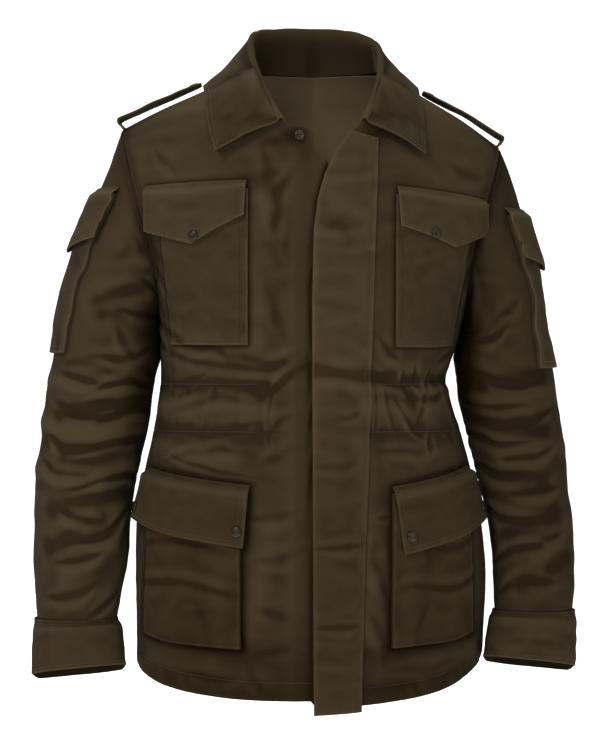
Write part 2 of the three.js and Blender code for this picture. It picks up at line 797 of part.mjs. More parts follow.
// Collar: sections round the neck from the wearer's right front end to the left one,
// each with its roll line and its outer edge; the seam lies on the neckline
const collarSection = table(
  ['station', 'seamX', 'seamZ', 'rollX', 'rollY', 'rollZ', 'edgeX', 'edgeY', 'edgeZ'],
  [
    [-6, -37, -41, -37, -114, -40, -114, -121, -80],
    [-5, -60, -24, -52, -84, -10, -124, -84, -40],
    [-4, -77, 1, -64, -44, 20, -129, -42, -6],
    [-3, -85, 26, -74, 0, 54, -132, 5, 11],
    [-2, -80, 30, -72, 42, 82, -120, 62, 2],
    [-1, -45, 32, -44, 74, 91, -72, 88, 6],
    [0, 0, 32, 2, 86, 93, 0, 106, 12],
    [1, 45, 32, 50, 74, 88, 74, 88, 3],
    [2, 80, 30, 79, 42, 71, 114, 62, -2],
    [3, 85, 27, 84, 0, 45, 127, 5, 9],
    [4, 80, 0, 81, -44, 17, 131, -42, -13],
    [5, 72, -21, 73, -80, -10, 133, -80, -46],
    [6, 61, -40, 61, -114, -40, 133, -117, -83],
  ],
);
const ROLL_HALF = 3.6;
const LEAF_CLEARANCE = 3.6;
const COLLAR_END = 6;
const COLLAR_SECTIONS = 30;

// Place of the neck seam on the torso at a station, a little inside and above the panels' edge
function neckSeam(station) {
  const row = collarSection(station);
  const behind = Math.abs(station) < 3;
  const z = Math.min(row.seamZ, shoulderHeight(row.seamX) - 0.01);
  const base = torsoBase(turnAt(row.seamX || 0.01, z, behind), z);
  base.z += SEAM_GAP + DOUBLE_WALL * 0.7;
  return base;
}

function collarSpine(station) {
  const row = collarSection(station);
  const seam = neckSeam(station);
  const roll = new THREE.Vector3(row.rollX, row.rollY, row.rollZ);
  const edge = new THREE.Vector3(row.edgeX, row.edgeY, row.edgeZ);
  const outward = edge.clone().sub(roll).setZ(0).normalize();
  const at = (from, aside, drop) => {
    const place = from.clone().addScaledVector(outward, aside);
    place.z -= drop;
    return place;
  };
  const inside = at(roll, -ROLL_HALF, 5);
  const outside = at(roll, ROLL_HALF, 5);
  const offBody = (p) => clearOfTorso(p, LEAF_CLEARANCE);
  return [
    seam,
    seam.clone().lerp(inside, 0.5),
    inside,
    at(roll, -ROLL_HALF * 0.6, 1.2),
    roll,
    at(roll, ROLL_HALF * 0.6, 1.2),
    offBody(outside),
    offBody(at(outside.clone().lerp(edge, 0.33), 1.5, -2)),
    offBody(at(outside.clone().lerp(edge, 0.66), 1.5, -2)),
    offBody(edge),
  ];
}

// Moves a point forward, or backward behind the shoulder seam, until it clears the torso
function clearOfTorso(p, gap) {
  if (p.z > shoulderHeight(p.x) - 0.5) return p;
  const behind = p.y > torsoSection(p.z).middle;
  const surface = torsoBase(turnAt(p.x, p.z, behind), p.z);
  const face = torsoNormal(surface, behind ? 1 : -1);
  const needed = surface.y + (gap / Math.max(Math.abs(face.y), 0.5)) * (behind ? 1 : -1);
  p.y = behind ? Math.max(p.y, needed) : Math.min(p.y, needed);
  return p;
}

function addCollar() {
  const sections = COLLAR_SECTIONS;
  const grid = [];
  for (let k = 0; k <= sections; k += 1) {
    grid.push(collarSpine(mix(-COLLAR_END, COLLAR_END, k / sections)));
  }
  const points = grid[0].length;
  const normalAt = (k, i) => {
    const around = grid[Math.min(k + 1, sections)][i].clone().sub(grid[Math.max(k - 1, 0)][i]);
    const across = grid[k][Math.min(i + 1, points - 1)].clone().sub(grid[k][Math.max(i - 1, 0)]);
    return across.cross(around).normalize();
  };
  const shifted = (share) => grid.map((line, k) => (
    line.map((p, i) => p.clone().addScaledVector(normalAt(k, i), share))));
  add('collar', wallGeometry(shifted(DOUBLE_WALL / 2), shifted(-DOUBLE_WALL / 2)), TWILL);
}

// Storm flap: the first columns of the wearer's left front, moved out, a little longer at its ends
const FLAP_DROP = 7;
const FLAP_OVERHANG = 2.5;

function addStormFlap() {
  const top = FLAP_TOP_ROW / PANEL_ROWS;
  const point = (out) => (u, v) => {
    const moved = overFront(LEFT, (u * FLAP_COLUMNS) / PANEL_COLUMNS, v * top, out);
    moved.x -= FLAP_OVERHANG * ease(0.33, 0, u);
    moved.z -= FLAP_DROP * ease(0.03, 0, v);
    return moved;
  };
  const high = gridOf(FLAP_COLUMNS, FLAP_TOP_ROW, point(LIFT + DOUBLE_WALL));
  const low = gridOf(FLAP_COLUMNS, FLAP_TOP_ROW, point(LIFT));
  add('storm_flap', wallGeometry(high, low), TWILL_LIGHT);
}

// Pockets and flaps of the fronts. Corners are top inner, top outer, lower inner, tip and lower outer,
// each as the distance from the middle and the height, on the front view.
const chestPocket = {
  [RIGHT]: [[75, -123], [184, -124], [75, -306], [120, -306], [166, -305]],
  [LEFT]: [[98, -130], [192, -138], [97, -308], [135, -308], [166, -306]],
};
const chestFlap = {
  [RIGHT]: [[77, -113], [197, -117], [79, -155], [132, -187], [194, -169]],
  [LEFT]: [[99, -120], [205, -133], [102, -167], [156, -190], [204, -171]],
};
const lowerPocket = {
  [RIGHT]: [[84, -478], [192, -466], [83, -660], [150, -656], [198, -648]],
  [LEFT]: [[93, -480], [184, -464], [92, -659], [150, -654], [188, -646]],
};
const lowerFlap = {
  [RIGHT]: [[73, -470], [192, -452], [79, -543], [142, -530], [205, -513]],
  [LEFT]: [[93, -472], [183, -450], [104, -551], [152, -534], [197, -514]],
};
const POCKET_ROWS = [0, 0.05, 0.16, 0.3, 0.45, 0.6, 0.75, 0.88, 1];
const POCKET_SWELL = 1.4;
const FLAP_BASE = 5;
const POCKET_CLOTH = 3.6;
const GUSSET_RISE = 5;
const LOWER_FLAP_BASE = LIFT + POCKET_CLOTH + GUSSET_RISE + 0.6;
const FLAP_HANG = 1;
const FLAP_ROWS = [0, 0.3, 0.6, 0.84, 1];
const flapGrids = {};

function addChestPocket(side) {
  const high = (s, t) => LIFT + WALL + POCKET_SWELL * Math.sin(Math.PI * s) * ease(1, 0.8, t);
  const [outer, inner] = laidLayers(side, chestPocket[side], POCKET_ROWS, () => LIFT, high);
  add(`chest_pocket_${sideName(side)}`, wallGeometry(outer, inner), TWILL);
}

// The folded gussets of a lower pocket stand up along its inner and bottom edges
function addLowerPocket(side) {
  const high = (s, t) => {
    const inner = ease(0.4, 0.1, s);
    const bottom = 0.6 * ease(0.3, 0.05, t) * ease(1, 0.7, s);
    return LIFT + POCKET_CLOTH + GUSSET_RISE * ease(1, 0.75, t) * Math.max(inner, bottom);
  };
  const [outer, inner] = laidLayers(side, lowerPocket[side], POCKET_ROWS, () => LIFT, high);
  add(`lower_pocket_${sideName(side)}`, wallGeometry(outer, inner), TWILL_DARK);
}

// A flap is sewn down along its top and hangs clear of its pocket
function flapRise(t, base, hang) {
  return mix(LIFT, base, ease(1, 0.84, t)) + hang * ease(0.8, 0, t);
}

function addFrontFlap(kind, side, corners, base, hang) {
  const low = (s, t) => flapRise(t, base, hang);
  const high = (s, t) => low(s, t) + DOUBLE_WALL;
  const name = `${kind}_flap_${sideName(side)}`;
  const [outer, inner] = laidLayers(side, corners[side], FLAP_ROWS, low, high);
  flapGrids[name] = outer;
  add(name, wallGeometry(outer, inner), TWILL_LIGHT);
}

// Sleeve pockets: their turns round the arm are whole columns of the sleeve
const sleevePocket = {
  [RIGHT]: { topZ: -124, bottomZ: -315, flapTop: -115, flapLow: -180, flapTip: -195 },
  [LEFT]: { topZ: -150, bottomZ: -333, flapTop: -141, flapLow: -203, flapTip: -216 },
};
const SLEEVE_POCKET_TURN = 54;
const SLEEVE_POCKET_CLOTH = 4;
const SLEEVE_FLAP_BASE = 7;
const SLEEVE_FLAP_HANG = 2.5;
const SLEEVE_FLAP_OVERHANG = 1.05;
const sleeveGrids = {};

// Point over a sleeve's own facets at a turn and height, moved out
function overSleeve(side, around, z, out) {
  let low = 0.02;
  let high = 1;
  for (let step = 0; step < 24; step += 1) {
    const middle = (low + high) / 2;
    if (sleeveBase(side, around, middle).z > z) low = middle;
    else high = middle;
  }
  const share = (((around % 360) + 360) % 360) / 360;
  return facetPoint(sleeveGrids[side], share, low).addScaledVector(sleeveNormal(side, around, low), out);
}

function addSleevePocket(side) {
  const size = sleevePocket[side];
  const around = (s) => mix(SLEEVE_POCKET_TURN, -SLEEVE_POCKET_TURN, s);
  const pocket = (rise) => gridOf(6, 8, (s, t) => (
    overSleeve(side, around(s), mix(size.bottomZ, size.topZ, t), rise(s, t))));
  const swell = (s, t) => POCKET_SWELL * Math.sin(Math.PI * s) * ease(1, 0.8, t);
  const high = (s, t) => LIFT + SLEEVE_POCKET_CLOTH + swell(s, t);
  add(`sleeve_pocket_${sideName(side)}`, wallGeometry(pocket(high), pocket(() => LIFT)), TWILL);
  const flap = (out) => FLAP_ROWS.map((t) => gridOf(6, 1, (s) => {
    const lower = mix(size.flapTip, size.flapLow, Math.abs(2 * s - 1));
    const rise = flapRise(t, SLEEVE_FLAP_BASE, SLEEVE_FLAP_HANG) + LIFT * t + out;
    return overSleeve(side, around(s) * SLEEVE_FLAP_OVERHANG, mix(lower, size.flapTop, t), rise);
  })[0]);
  add(`sleeve_flap_${sideName(side)}`, wallGeometry(flap(DOUBLE_WALL), flap(0)), TWILL_LIGHT);
}

// Epaulets: a strap that rises from the shoulder tip, folds over and runs up to the collar
const epauletPath = {
  [RIGHT]: [
    [-229, -39.6], [-234, -36.5], [-235, -31], [-228, -27], [-212, -20],
    [-194, -11.5], [-175, -4], [-156, 4.5], [-134.5, 13],
  ],
  [LEFT]: [
    [226, -61], [231, -58], [232, -53], [225, -48.5], [209, -38],
    [191, -26], [172, -16], [154, -7], [134.5, 3],
  ],
};
const EPAULET_WIDTH = 44;
const EPAULET_NECK_WIDTH = 38;
const EPAULET_Y = 4;
const EPAULET_BUTTON = 0.92;

function addEpaulet(side) {
  const points = epauletPath[side].map(([x, z]) => new THREE.Vector3(x, EPAULET_Y, z));
  const curve = new THREE.CatmullRomCurve3(points, false, 'centripetal');
  const place = (out) => (u, v) => {
    const tangent = curve.getTangentAt(v);
    const face = new THREE.Vector3(-tangent.z, 0, tangent.x).multiplyScalar(-side);
    const rounded = v > 0.97 ? 0.72 : 1;
    const width = mix(EPAULET_WIDTH, EPAULET_NECK_WIDTH, v) * rounded;
    const point = curve.getPointAt(v);
    point.y += (u - 0.5) * width;
    return point.addScaledVector(face, out);
  };
  const high = gridOf(3, 16, place(DOUBLE_WALL / 2));
  const low = gridOf(3, 16, place(-DOUBLE_WALL / 2));
  const name = sideName(side);
  add(`epaulet_${name}`, wallGeometry(high, low), TWILL);
  const face = facetFace(high, 0.5, EPAULET_BUTTON);
  if (face.z < 0) face.negate();
  addFastener(`epaulet_button_${name}`, facetPoint(high, 0.5, EPAULET_BUTTON), face);
}

// Snaps and buttons: a turned disc seated on a grid's facet
const SNAP_RADIUS = 6.2;
const SNAP_HEIGHT = 2.6;
const SNAP_SEAT = 0.35;
const SNAP_SIDES = 12;
const CHEST_SNAP = [0.47, 0.14];
const LOWER_SNAP_INNER = [0.12, 0.2];
const LOWER_SNAP_OUTER = [0.93, 0.2];
const SNAP_PROFILE = [[0, 0], [1, 0], [1, 0.5], [0.7, 1], [0, 0.85]];

function addFastener(name, point, face) {
  const profile = SNAP_PROFILE.map(([r, h]) => new THREE.Vector2(r * SNAP_RADIUS, h * SNAP_HEIGHT));
  const mesh = add(name, new THREE.LatheGeometry(profile, SNAP_SIDES), METAL, 0.35, 0.9);
  mesh.quaternion.setFromUnitVectors(new THREE.Vector3(0, 1, 0), face);
  mesh.position.copy(point).addScaledVector(face, SNAP_SEAT);
}

function facetFace(grid, u, v) {
  const step = 0.02;
  const across = facetPoint(grid, u + step, v).sub(facetPoint(grid, u - step, v));
  const up = facetPoint(grid, u, v + step).sub(facetPoint(grid, u, v - step));
  return across.cross(up).normalize();
}

function addSnapOnFlap(name, flap, u, v) {
  const grid = flapGrids[flap];
  const point = facetPoint(grid, u, v);
  const face = facetFace(grid, u, v);
  if (face.y > 0) face.negate();
  addFastener(name, point, face);
}

// Dark button on the top corner of the wearer's right front, left open
const NECK_BUTTON = [17, -61];

function addNeckButton() {
  const [u, v] = panelShare(RIGHT, NECK_BUTTON);
  const grid = fronts[RIGHT].outer;
  const face = facetFace(grid, u, v);
  if (face.y > 0) face.negate();
  addFastener('neck_button', facetPoint(grid, u, v), face);
}

for (const side of [RIGHT, LEFT]) {
  makeFront(side);
  addSleeve(side);
  addCuff(side);
}
for (const side of [RIGHT, LEFT]) {
  const name = sideName(side);
  addChestPocket(side);
  addFrontFlap('chest', side, chestFlap, FLAP_BASE, FLAP_HANG);
  addSnapOnFlap(`chest_snap_${name}`, `chest_flap_${name}`, ...CHEST_SNAP);
  addLowerPocket(side);
  addFrontFlap('lower', side, lowerFlap, LOWER_FLAP_BASE, FLAP_HANG);
  addSnapOnFlap(`lower_snap_inner_${name}`, `lower_flap_${name}`, ...LOWER_SNAP_INNER);
  addSnapOnFlap(`lower_snap_outer_${name}`, `lower_flap_${name}`, ...LOWER_SNAP_OUTER);
  addSleevePocket(side);
  addEpaulet(side);
}
addBack();
addCollar();
addStormFlap();
addNeckButton();

export default jacket;
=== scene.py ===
# Field jacket, open and hollow as if worn by no one. Works in millimetres, writes metres.
# Front faces -Y, the wearer's right arm is on the -X side, the neck is at the origin.
import math

import bpy
import numpy as np
from mathutils import Matrix, Vector


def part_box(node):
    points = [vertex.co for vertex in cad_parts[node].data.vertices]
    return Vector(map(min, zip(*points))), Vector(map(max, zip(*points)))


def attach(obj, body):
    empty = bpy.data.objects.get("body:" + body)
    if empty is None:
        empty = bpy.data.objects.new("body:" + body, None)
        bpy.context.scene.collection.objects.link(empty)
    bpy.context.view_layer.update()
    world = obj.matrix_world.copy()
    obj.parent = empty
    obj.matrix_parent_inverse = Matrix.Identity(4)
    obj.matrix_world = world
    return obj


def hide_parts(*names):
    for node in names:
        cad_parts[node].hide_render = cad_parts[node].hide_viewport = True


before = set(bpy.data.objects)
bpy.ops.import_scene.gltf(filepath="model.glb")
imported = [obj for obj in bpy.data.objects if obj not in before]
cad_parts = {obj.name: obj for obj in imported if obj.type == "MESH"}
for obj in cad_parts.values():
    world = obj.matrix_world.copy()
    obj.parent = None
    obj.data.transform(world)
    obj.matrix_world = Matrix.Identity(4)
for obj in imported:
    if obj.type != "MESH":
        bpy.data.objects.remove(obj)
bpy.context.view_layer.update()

millimetre = 0.001
degree = math.pi / 180
right, left = -1, 1
sideNames = {right: "right", left: "left"}

cloth = {
    "wall": 1.8,  # one layer as it stands, with its seams
    "doubleWall": 2.6,
    "seamGap": 0.4,
    "lift": 0.5,  # a piece laid on a panel starts this far off it
    "creaseDepth": 1.45,  # times the depths and widths of the crease tables
    "creaseWidth": 1.12,
    "edgeShade": 0.8,  # the sides of a thick pocket stand in shadow
}


# Smooth tables, edges and folds that every panel reads

def hermite(a, b, slopeA, slopeB, t):
    t2, t3 = t * t, t * t * t
    return a * (2 * t3 - 3 * t2 + 1) + slopeA * (t3 - 2 * t2 + t) + b * (3 * t2 - 2 * t3) + slopeB * (t3 - t2)


def smoothTable(columns, rows):
    data = np.array(rows, float)
    keys, values = data[:, 0], data[:, 1:]
    last = len(keys) - 1
    low = np.maximum(np.arange(last + 1) - 1, 0)
    high = np.minimum(np.arange(last + 1) + 1, last)
    slopes = (values[high] - values[low]) / (keys[high] - keys[low])[:, None]

    def read(key):
        key = np.asarray(key, float)
        i = np.clip(np.searchsorted(keys, key, side="left") - 1, 0, last - 1)
        step = (keys[i + 1] - keys[i])[..., None]
        t = np.clip((key - keys[i])[..., None] / step, 0, 1)
        found = hermite(values[i], values[i + 1], slopes[i] * step, slopes[i + 1] * step, t)
        return {name: found[..., c] for c, name in enumerate(columns[1:])}

    return read


def mix(a, b, t):
    return a + (b - a) * t


def ease(start, end, value):
    t = np.clip((np.asarray(value, float) - start) / (end - start), 0, 1)
    return t * t * (3 - 2 * t)


def smoothNoise(u, v, seed):
    # value noise between -1 and 1 on a fixed lattice
    lattice = np.random.default_rng(seed).uniform(-1, 1, (97, 97))
    i, j = np.floor(u).astype(int), np.floor(v).astype(int)
    fu, fv = ease(0, 1, u - i), ease(0, 1, v - j)
    at = lambda a, b: lattice[a % 97, b % 97]
    return mix(mix(at(i, j), at(i + 1, j), fu), mix(at(i, j + 1), at(i + 1, j + 1), fu), fv)


# Body: a level section at each height, the shoulder seam over it and the hem under it

torsoSection = smoothTable(["z", "right", "left", "front", "back", "middle"], [
    [-745, 211, 206, 128, 110, 0],
    [-660, 213, 208, 130, 112, 0],
    [-580, 214, 211, 131, 112, 0],
    [-515, 213, 205, 128, 110, 0],
    [-460, 204, 194, 123, 106, 0],
    [-415, 194, 182, 118, 100, 0],
    [-375, 187, 169, 115, 97, 0],
    [-345, 184, 163, 114, 96, 0],
    [-300, 185, 178, 119, 101, 0],
    [-255, 188, 189, 125, 108, 1],
    [-205, 203, 204, 129, 113, 3],
    [-150, 222, 221, 129, 115, 6],
    [-100, 234, 233, 125, 112, 8],
    [-50, 241, 240, 119, 108, 9],
    [70, 244, 244, 110, 102, 9],
])
shoulderLine = smoothTable(["out", "right", "left"], [
    [0, 63, 63],
    [45, 47, 48],
    [85, 26, 27],
    [135, 4, -2],
    [185, -18, -32],
    [232, -42, -66],
    [260, -58, -84],
])
hemLine = smoothTable(["turn", "right", "left"], [
    [0, -722, -731],
    [20, -720, -726],
    [45, -712, -714],
    [70, -698, -690],
    [90, -684, -674],
    [135, -690, -686],
    [180, -694, -694],
])
armholeTurn = smoothTable(["rise", "turn"], [
    [0, 90],
    [0.06, 80],
    [0.15, 72.5],
    [0.3, 68],
    [0.5, 66],
    [0.75, 68],
    [1, 72],
])
body = {
    "fullness": 2.4,
    "shoulderRound": 112,
    "neckPointX": 85,
    "armpitZ": -262,
    "tipZ": {right: -42, left: -66},
    "girth": 3.1,  # mm round the body to a degree of turn
    "armpitShare": 20 / 30,
    "backNeckZ": 32,
    "shoulderShare": 0.3,
}
# Main folds, from one end to the other in the front view, as in the solids
foldColumns = ["side", "x1", "z1", "x2", "z2", "height", "width"]
mainFolds = [
    ["front", -2, -331, -60, -362, -4.0, 16],
    ["front", -62, -352, -182, -352, -3.0, 16],
    ["front", -62, -412, -186, -408, -3.0, 16],
    ["front", -62, -380, -184, -378, 4.0, 16],
    ["front", -96, -440, -190, -418, 3.5, 16],
    ["front", 66, -340, 116, -362, -4.0, 16],
    ["front", 108, -346, 150, -356, 3.0, 16],
    ["front", 70, -412, 165, -412, -3.0, 16],
    ["front", 70, -380, 160, -382, 4.0, 16],
    ["front", 118, -350, 126, -400, -3.5, 16],
    ["front", -50, -520, -72, -640, 3.0, 16],
    ["front", 58, -420, 66, -640, 3.0, 14],
    ["front", -60, -690, -190, -672, 3.0, 14],
    ["front", 80, -690, 190, -664, 3.0, 14],
    ["front", -60, -140, -64, -300, 3.0, 14],
    ["back", -150, -352, 150, -352, -3.0, 16],
    ["back", -150, -412, 150, -412, -3.0, 16],
    ["back", -120, -382, 130, -382, 4.0, 16],
    ["back", -150, -210, -60, -330, 4.0, 18],
    ["back", 150, -210, 70, -325, 4.0, 18],
    ["back", -90, -470, -110, -640, 4.0, 20],
    ["back", 80, -470, 105, -640, 4.0, 20],
]


def isRight(value):
    return np.asarray(value) < 0


def shoulderHeight(x):
    line = shoulderLine(np.abs(x))
    return np.where(isRight(x), line["right"], line["left"])


def shoulderEase(x, z):
    t = np.clip((shoulderHeight(x) - z) / body["shoulderRound"], 0, 1)
    return np.sqrt(1 - (1 - t) ** 2)


def turnAt(x, z, behind=False):
    section = torsoSection(z)
    half = np.where(isRight(x), section["right"], section["left"])
    share = np.minimum(np.abs(x) / half, 1)
    turn = np.sign(x) * np.arcsin(share ** (body["fullness"] / 2)) / degree
    flip = np.where(np.asarray(x) < 0, -180.0, 180.0)
    return np.where(behind, flip - turn, turn)


def torsoBase(turn, z):
    turn, z = np.broadcast_arrays(np.asarray(turn, float), np.asarray(z, float))
    section = torsoSection(z)
    sine, cosine = np.sin(turn * degree), np.cos(turn * degree)
    half = np.where(sine < 0, section["right"], section["left"])
    power = 2 / body["fullness"]
    x = np.sign(sine) * half * np.abs(sine) ** power
    face = np.where(np.abs(turn) < 90, -1.0, 1.0)
    depth = np.where(face < 0, section["front"], section["back"])
    reach = depth * np.abs(cosine) ** power * shoulderEase(x, z)
    return np.stack([x, section["middle"] + face * (reach + cloth["seamGap"] / 2), z], -1)


def torsoNormal(p, face):
    face = np.asarray(face, float)

    def value(x, y, z):
        section = torsoSection(z)
        half = np.where(isRight(x), section["right"], section["left"])
        across = np.maximum(1 - (np.abs(x) / half) ** body["fullness"], 0)
        depth = np.where(face < 0, section["front"], section["back"])
        turned = shoulderEase(x, z)
        return ((y - section["middle"]) / depth) ** 2 - across ** (2 / body["fullness"]) * turned ** 2

    h = 0.4
    x, y, z = p[..., 0], p[..., 1] - face * cloth["seamGap"] / 2, p[..., 2]
    slope = np.stack([
        value(x + h, y, z) - value(x - h, y, z),
        value(x, y + h, z) - value(x, y - h, z),
        value(x, y, z + h) - value(x, y, z - h),
    ], -1)
    return slope / np.maximum(np.linalg.norm(slope, axis=-1, keepdims=True), 1e-9)


def girthOf(turn):
    turn = np.asarray(turn, float)
    return np.where(turn < -120, turn + 360, turn) * body["girth"]


def foldHeight(folds, across, up):
    height = np.zeros(np.broadcast(across, up).shape)
    for fold in folds:
        dx, dz = fold["x2"] - fold["x1"], fold["z2"] - fold["z1"]
        length = math.hypot(dx, dz)
        along = ((across - fold["x1"]) * dx + (up - fold["z1"]) * dz) / length
        aside = ((across - fold["x1"]) * dz - (up - fold["z1"]) * dx) / length
        beyond = np.maximum(np.maximum(-along, along - length), 0)
        reach = (aside ** 2 + beyond ** 2) / fold["width"] ** 2
        height += np.where(reach < 9, fold["height"] * np.exp(-reach), 0)
    return height


def creaseHeight(creases, across, up):
    # a soft trough with a raised lip on one side, bowed, and fading towards its ends
    height = np.zeros(np.broadcast(across, up).shape)
    for k, crease in enumerate(creases):
        dx, dz = crease["x2"] - crease["x1"], crease["z2"] - crease["z1"]
        length = max(math.hypot(dx, dz), 1.0)
        along = ((across - crease["x1"]) * dx + (up - crease["z1"]) * dz) / length
        near = (along > -0.3 * length) & (along < 1.3 * length)
        share = np.clip(along / length, 0, 1)
        bow = crease["bow"] * length * 4 * share * (1 - share)
        wander = crease["width"] * 0.5 * smoothNoise(along / 23.0, along * 0 + k * 3.7, 11)
        aside = ((across - crease["x1"]) * dz - (up - crease["z1"]) * dx) / length - bow - wander
        width = cloth["creaseWidth"] * crease["width"] * (0.55 + 0.45 * np.sin(np.pi * share))
        trough = -np.exp(-(aside / width) ** 2)
        lip = 0.75 * np.exp(-((aside - 1.7 * width) / (1.3 * width)) ** 2)
        lip += 0.35 * np.exp(-((aside + 1.9 * width) / (1.5 * width)) ** 2)
        fade = ease(-0.22, 0.25, along / length) * ease(1.22, 0.7, along / length)
        height += np.where(near, cloth["creaseDepth"] * crease["depth"] * (trough + lip) * fade, 0)
    return height


def readFolds(rows):
    folds = [dict(zip(foldColumns, row)) for row in rows]
    for fold in folds:
        behind = fold["side"] == "back"
        for end in ("1", "2"):
            fold["x" + end] = float(girthOf(turnAt(fold["x" + end], fold["z" + end], behind)))
    return folds


torsoFolds = readFolds(mainFolds)

# The photograph's frame, 600 by 750: where its camera stands and what a pixel spans at the side seams
photo = {"centreX": 300, "centreY": 375, "cameraX": -14.6, "cameraZ": -341.2, "distance": 2800, "pixel": 1.22}


def fromPhoto(px, py, depth=-115):
    # x and z in mm of a pixel, for a surface this far in front of or behind the side seams
    scale = photo["pixel"] * (photo["distance"] + depth) / photo["distance"]
    return photo["cameraX"] + (px - photo["centreX"]) * scale, photo["cameraZ"] - (py - photo["centreY"]) * scale


# Smaller creases of the body, each from one pixel to another; bow is its sag as a share of its length
creaseColumns = ["px1", "py1", "px2", "py2", "bow", "depth", "width"]
frontCreases = [
    [270, 391, 269, 446, 0.0, 0.9, 2.0],
    [375, 380, 376, 440, 0.0, 0.9, 2.0],
    [386, 384, 398, 436, 0.08, 1.0, 2.8],
    [166, 452, 248, 477, 0.02, 1.1, 2.8],
    [310, 366, 272, 392, 0.08, 1.9, 4.5],
    [302, 352, 262, 368, -0.06, 1.0, 5.0],
    [262, 372, 190, 362, 0.05, 1.1, 5.0],
    [250, 402, 176, 410, 0.06, 1.0, 5.5],
    [256, 422, 170, 428, -0.05, 1.1, 6.0],
    [166, 380, 205, 372, 0.10, 1.0, 4.0],
    [240, 452, 168, 462, 0.05, 0.9, 5.0],
    [300, 412, 272, 430, 0.08, 1.0, 5.0],
    [308, 448, 262, 462, 0.05, 0.9, 6.0],
    [374, 378, 412, 396, -0.08, 2.0, 4.5],
    [404, 368, 408, 392, 0.04, 1.6, 3.6],
    [416, 366, 424, 396, 0.05, 1.7, 3.8],
    [430, 370, 420, 420, -0.06, 1.4, 4.0],
    [396, 404, 426, 438, 0.06, 1.5, 4.0],
    [412, 398, 448, 386, 0.06, 1.3, 4.4],
    [434, 432, 432, 456, 0.05, 1.3, 3.6],
    [386, 452, 440, 446, 0.05, 1.0, 5.0],
    [380, 340, 400, 360, 0.05, 1.1, 4.5],
    [440, 360, 458, 348, 0.05, 1.3, 4.0],
    [262, 150, 276, 236, -0.03, 1.0, 6.0],
    [292, 172, 276, 232, 0.05, 1.1, 5.5],
    [300, 190, 290, 262, 0.04, 0.9, 5.0],
    [262, 260, 282, 330, 0.03, 0.7, 7.0],
    [152, 150, 178, 172, 0.06, 0.9, 6.0],
    [150, 262, 168, 300, -0.06, 1.4, 6.0],
    [156, 300, 168, 350, 0.05, 1.2, 5.0],
    [448, 162, 486, 176, 0.05, 0.8, 6.0],
    [474, 262, 462, 320, 0.06, 1.5, 6.0],
    [254, 520, 300, 512, 0.05, 0.8, 6.0],
    [256, 560, 306, 552, 0.05, 0.9, 6.0],
    [258, 610, 304, 622, -0.05, 0.8, 7.0],
    [262, 652, 308, 640, 0.05, 0.8, 6.0],
    [190, 672, 240, 676, 0.05, 0.9, 6.0],
    [246, 664, 262, 690, 0.05, 0.8, 5.0],
    [140, 574, 138, 640, 0.05, 1.2, 5.0],
    [372, 540, 386, 600, 0.04, 0.9, 5.0],
    [370, 610, 384, 660, -0.05, 0.9, 5.0],
    [392, 668, 450, 660, 0.05, 0.9, 5.5],
    [376, 520, 392, 516, 0.02, 0.8, 3.0],
    [338, 420, 360, 412, 0.04, 0.5, 4.0],
    [318, 470, 356, 462, 0.04, 0.6, 5.0],
    [320, 548, 360, 543, 0.03, 0.9, 4.0],
    [318, 628, 356, 624, 0.03, 0.9, 4.0],
    [318, 300, 360, 310, 0.04, 0.5, 7.0],
    [326, 200, 350, 240, 0.04, 0.6, 7.0],
]
backCreaseColumns = ["x1", "z1", "x2", "z2", "bow", "depth", "width"]
backCreases = [
    [-176, -240, -96, -292, 0.08, 1.8, 7.0],
    [-168, -276, -110, -300, 0.06, 1.2, 6.0],
    [172, -236, 88, -296, -0.08, 1.8, 7.0],
    [160, -280, 104, -306, -0.06, 1.2, 6.0],
    [-150, -340, -60, -356, 0.05, 1.3, 6.0],
    [-70, -372, 20, -366, 0.05, 1.2, 6.0],
    [140, -338, 66, -358, -0.05, 1.4, 6.0],
    [-168, -398, -110, -388, 0.05, 1.3, 5.0],
    [-40, -396, 60, -402, 0.06, 1.2, 6.0],
    [158, -394, 96, -388, -0.05, 1.3, 5.0],
    [-120, -428, -40, -446, 0.06, 1.1, 7.0],
    [40, -432, 130, -424, 0.06, 1.1, 7.0],
    [-60, -150, -40, -250, 0.05, 0.9, 9.0],
    [70, -140, 44, -250, -0.05, 0.9, 9.0],
    [-20, -480, -34, -620, 0.04, 1.2, 9.0],
    [130, -500, 140, -640, -0.04, 1.1, 8.0],
    [-150, -520, -140, -650, 0.04, 1.1, 8.0],
    [20, -60, 90, -74, 0.06, 0.8, 7.0],
    [-90, -70, -24, -62, -0.06, 0.8, 7.0],
]


def placeCreases():
    found = []
    for row in frontCreases:
        crease = dict(zip(creaseColumns, row))
        for end in ("1", "2"):
            x, z = fromPhoto(crease["px" + end], crease["py" + end])
            crease["x" + end], crease["z" + end] = float(girthOf(turnAt(x, z))), z
        found.append(crease)
    for row in backCreases:
        crease = dict(zip(backCreaseColumns, row))
        for end in ("1", "2"):
            crease["x" + end] = float(girthOf(turnAt(crease["x" + end], crease["z" + end], True)))
        found.append(crease)
    return found


torsoCreases = placeCreases()


def clothDrape(across, up, seed):
    # slow unevenness of worn cotton, slanted a little, and a finer crumple
    slow = smoothNoise(across / 64 + up / 210, up / 92, seed)
    middle = smoothNoise(across / 31 - up / 90, up / 27, seed + 1)
    fine = smoothNoise(across / 13, up / 11 + across / 40, seed + 2)
    pinched = -np.abs(smoothNoise(across / 58 + up / 75, up / 21 - across / 160, seed + 3))
    slanted = -np.abs(smoothNoise(across / 40 - up / 46, up / 30 + across / 52, seed + 4))
    return 0.9 * slow + 0.4 * middle + 0.2 * fine + 0.75 * pinched + 0.5 * slanted + 0.3


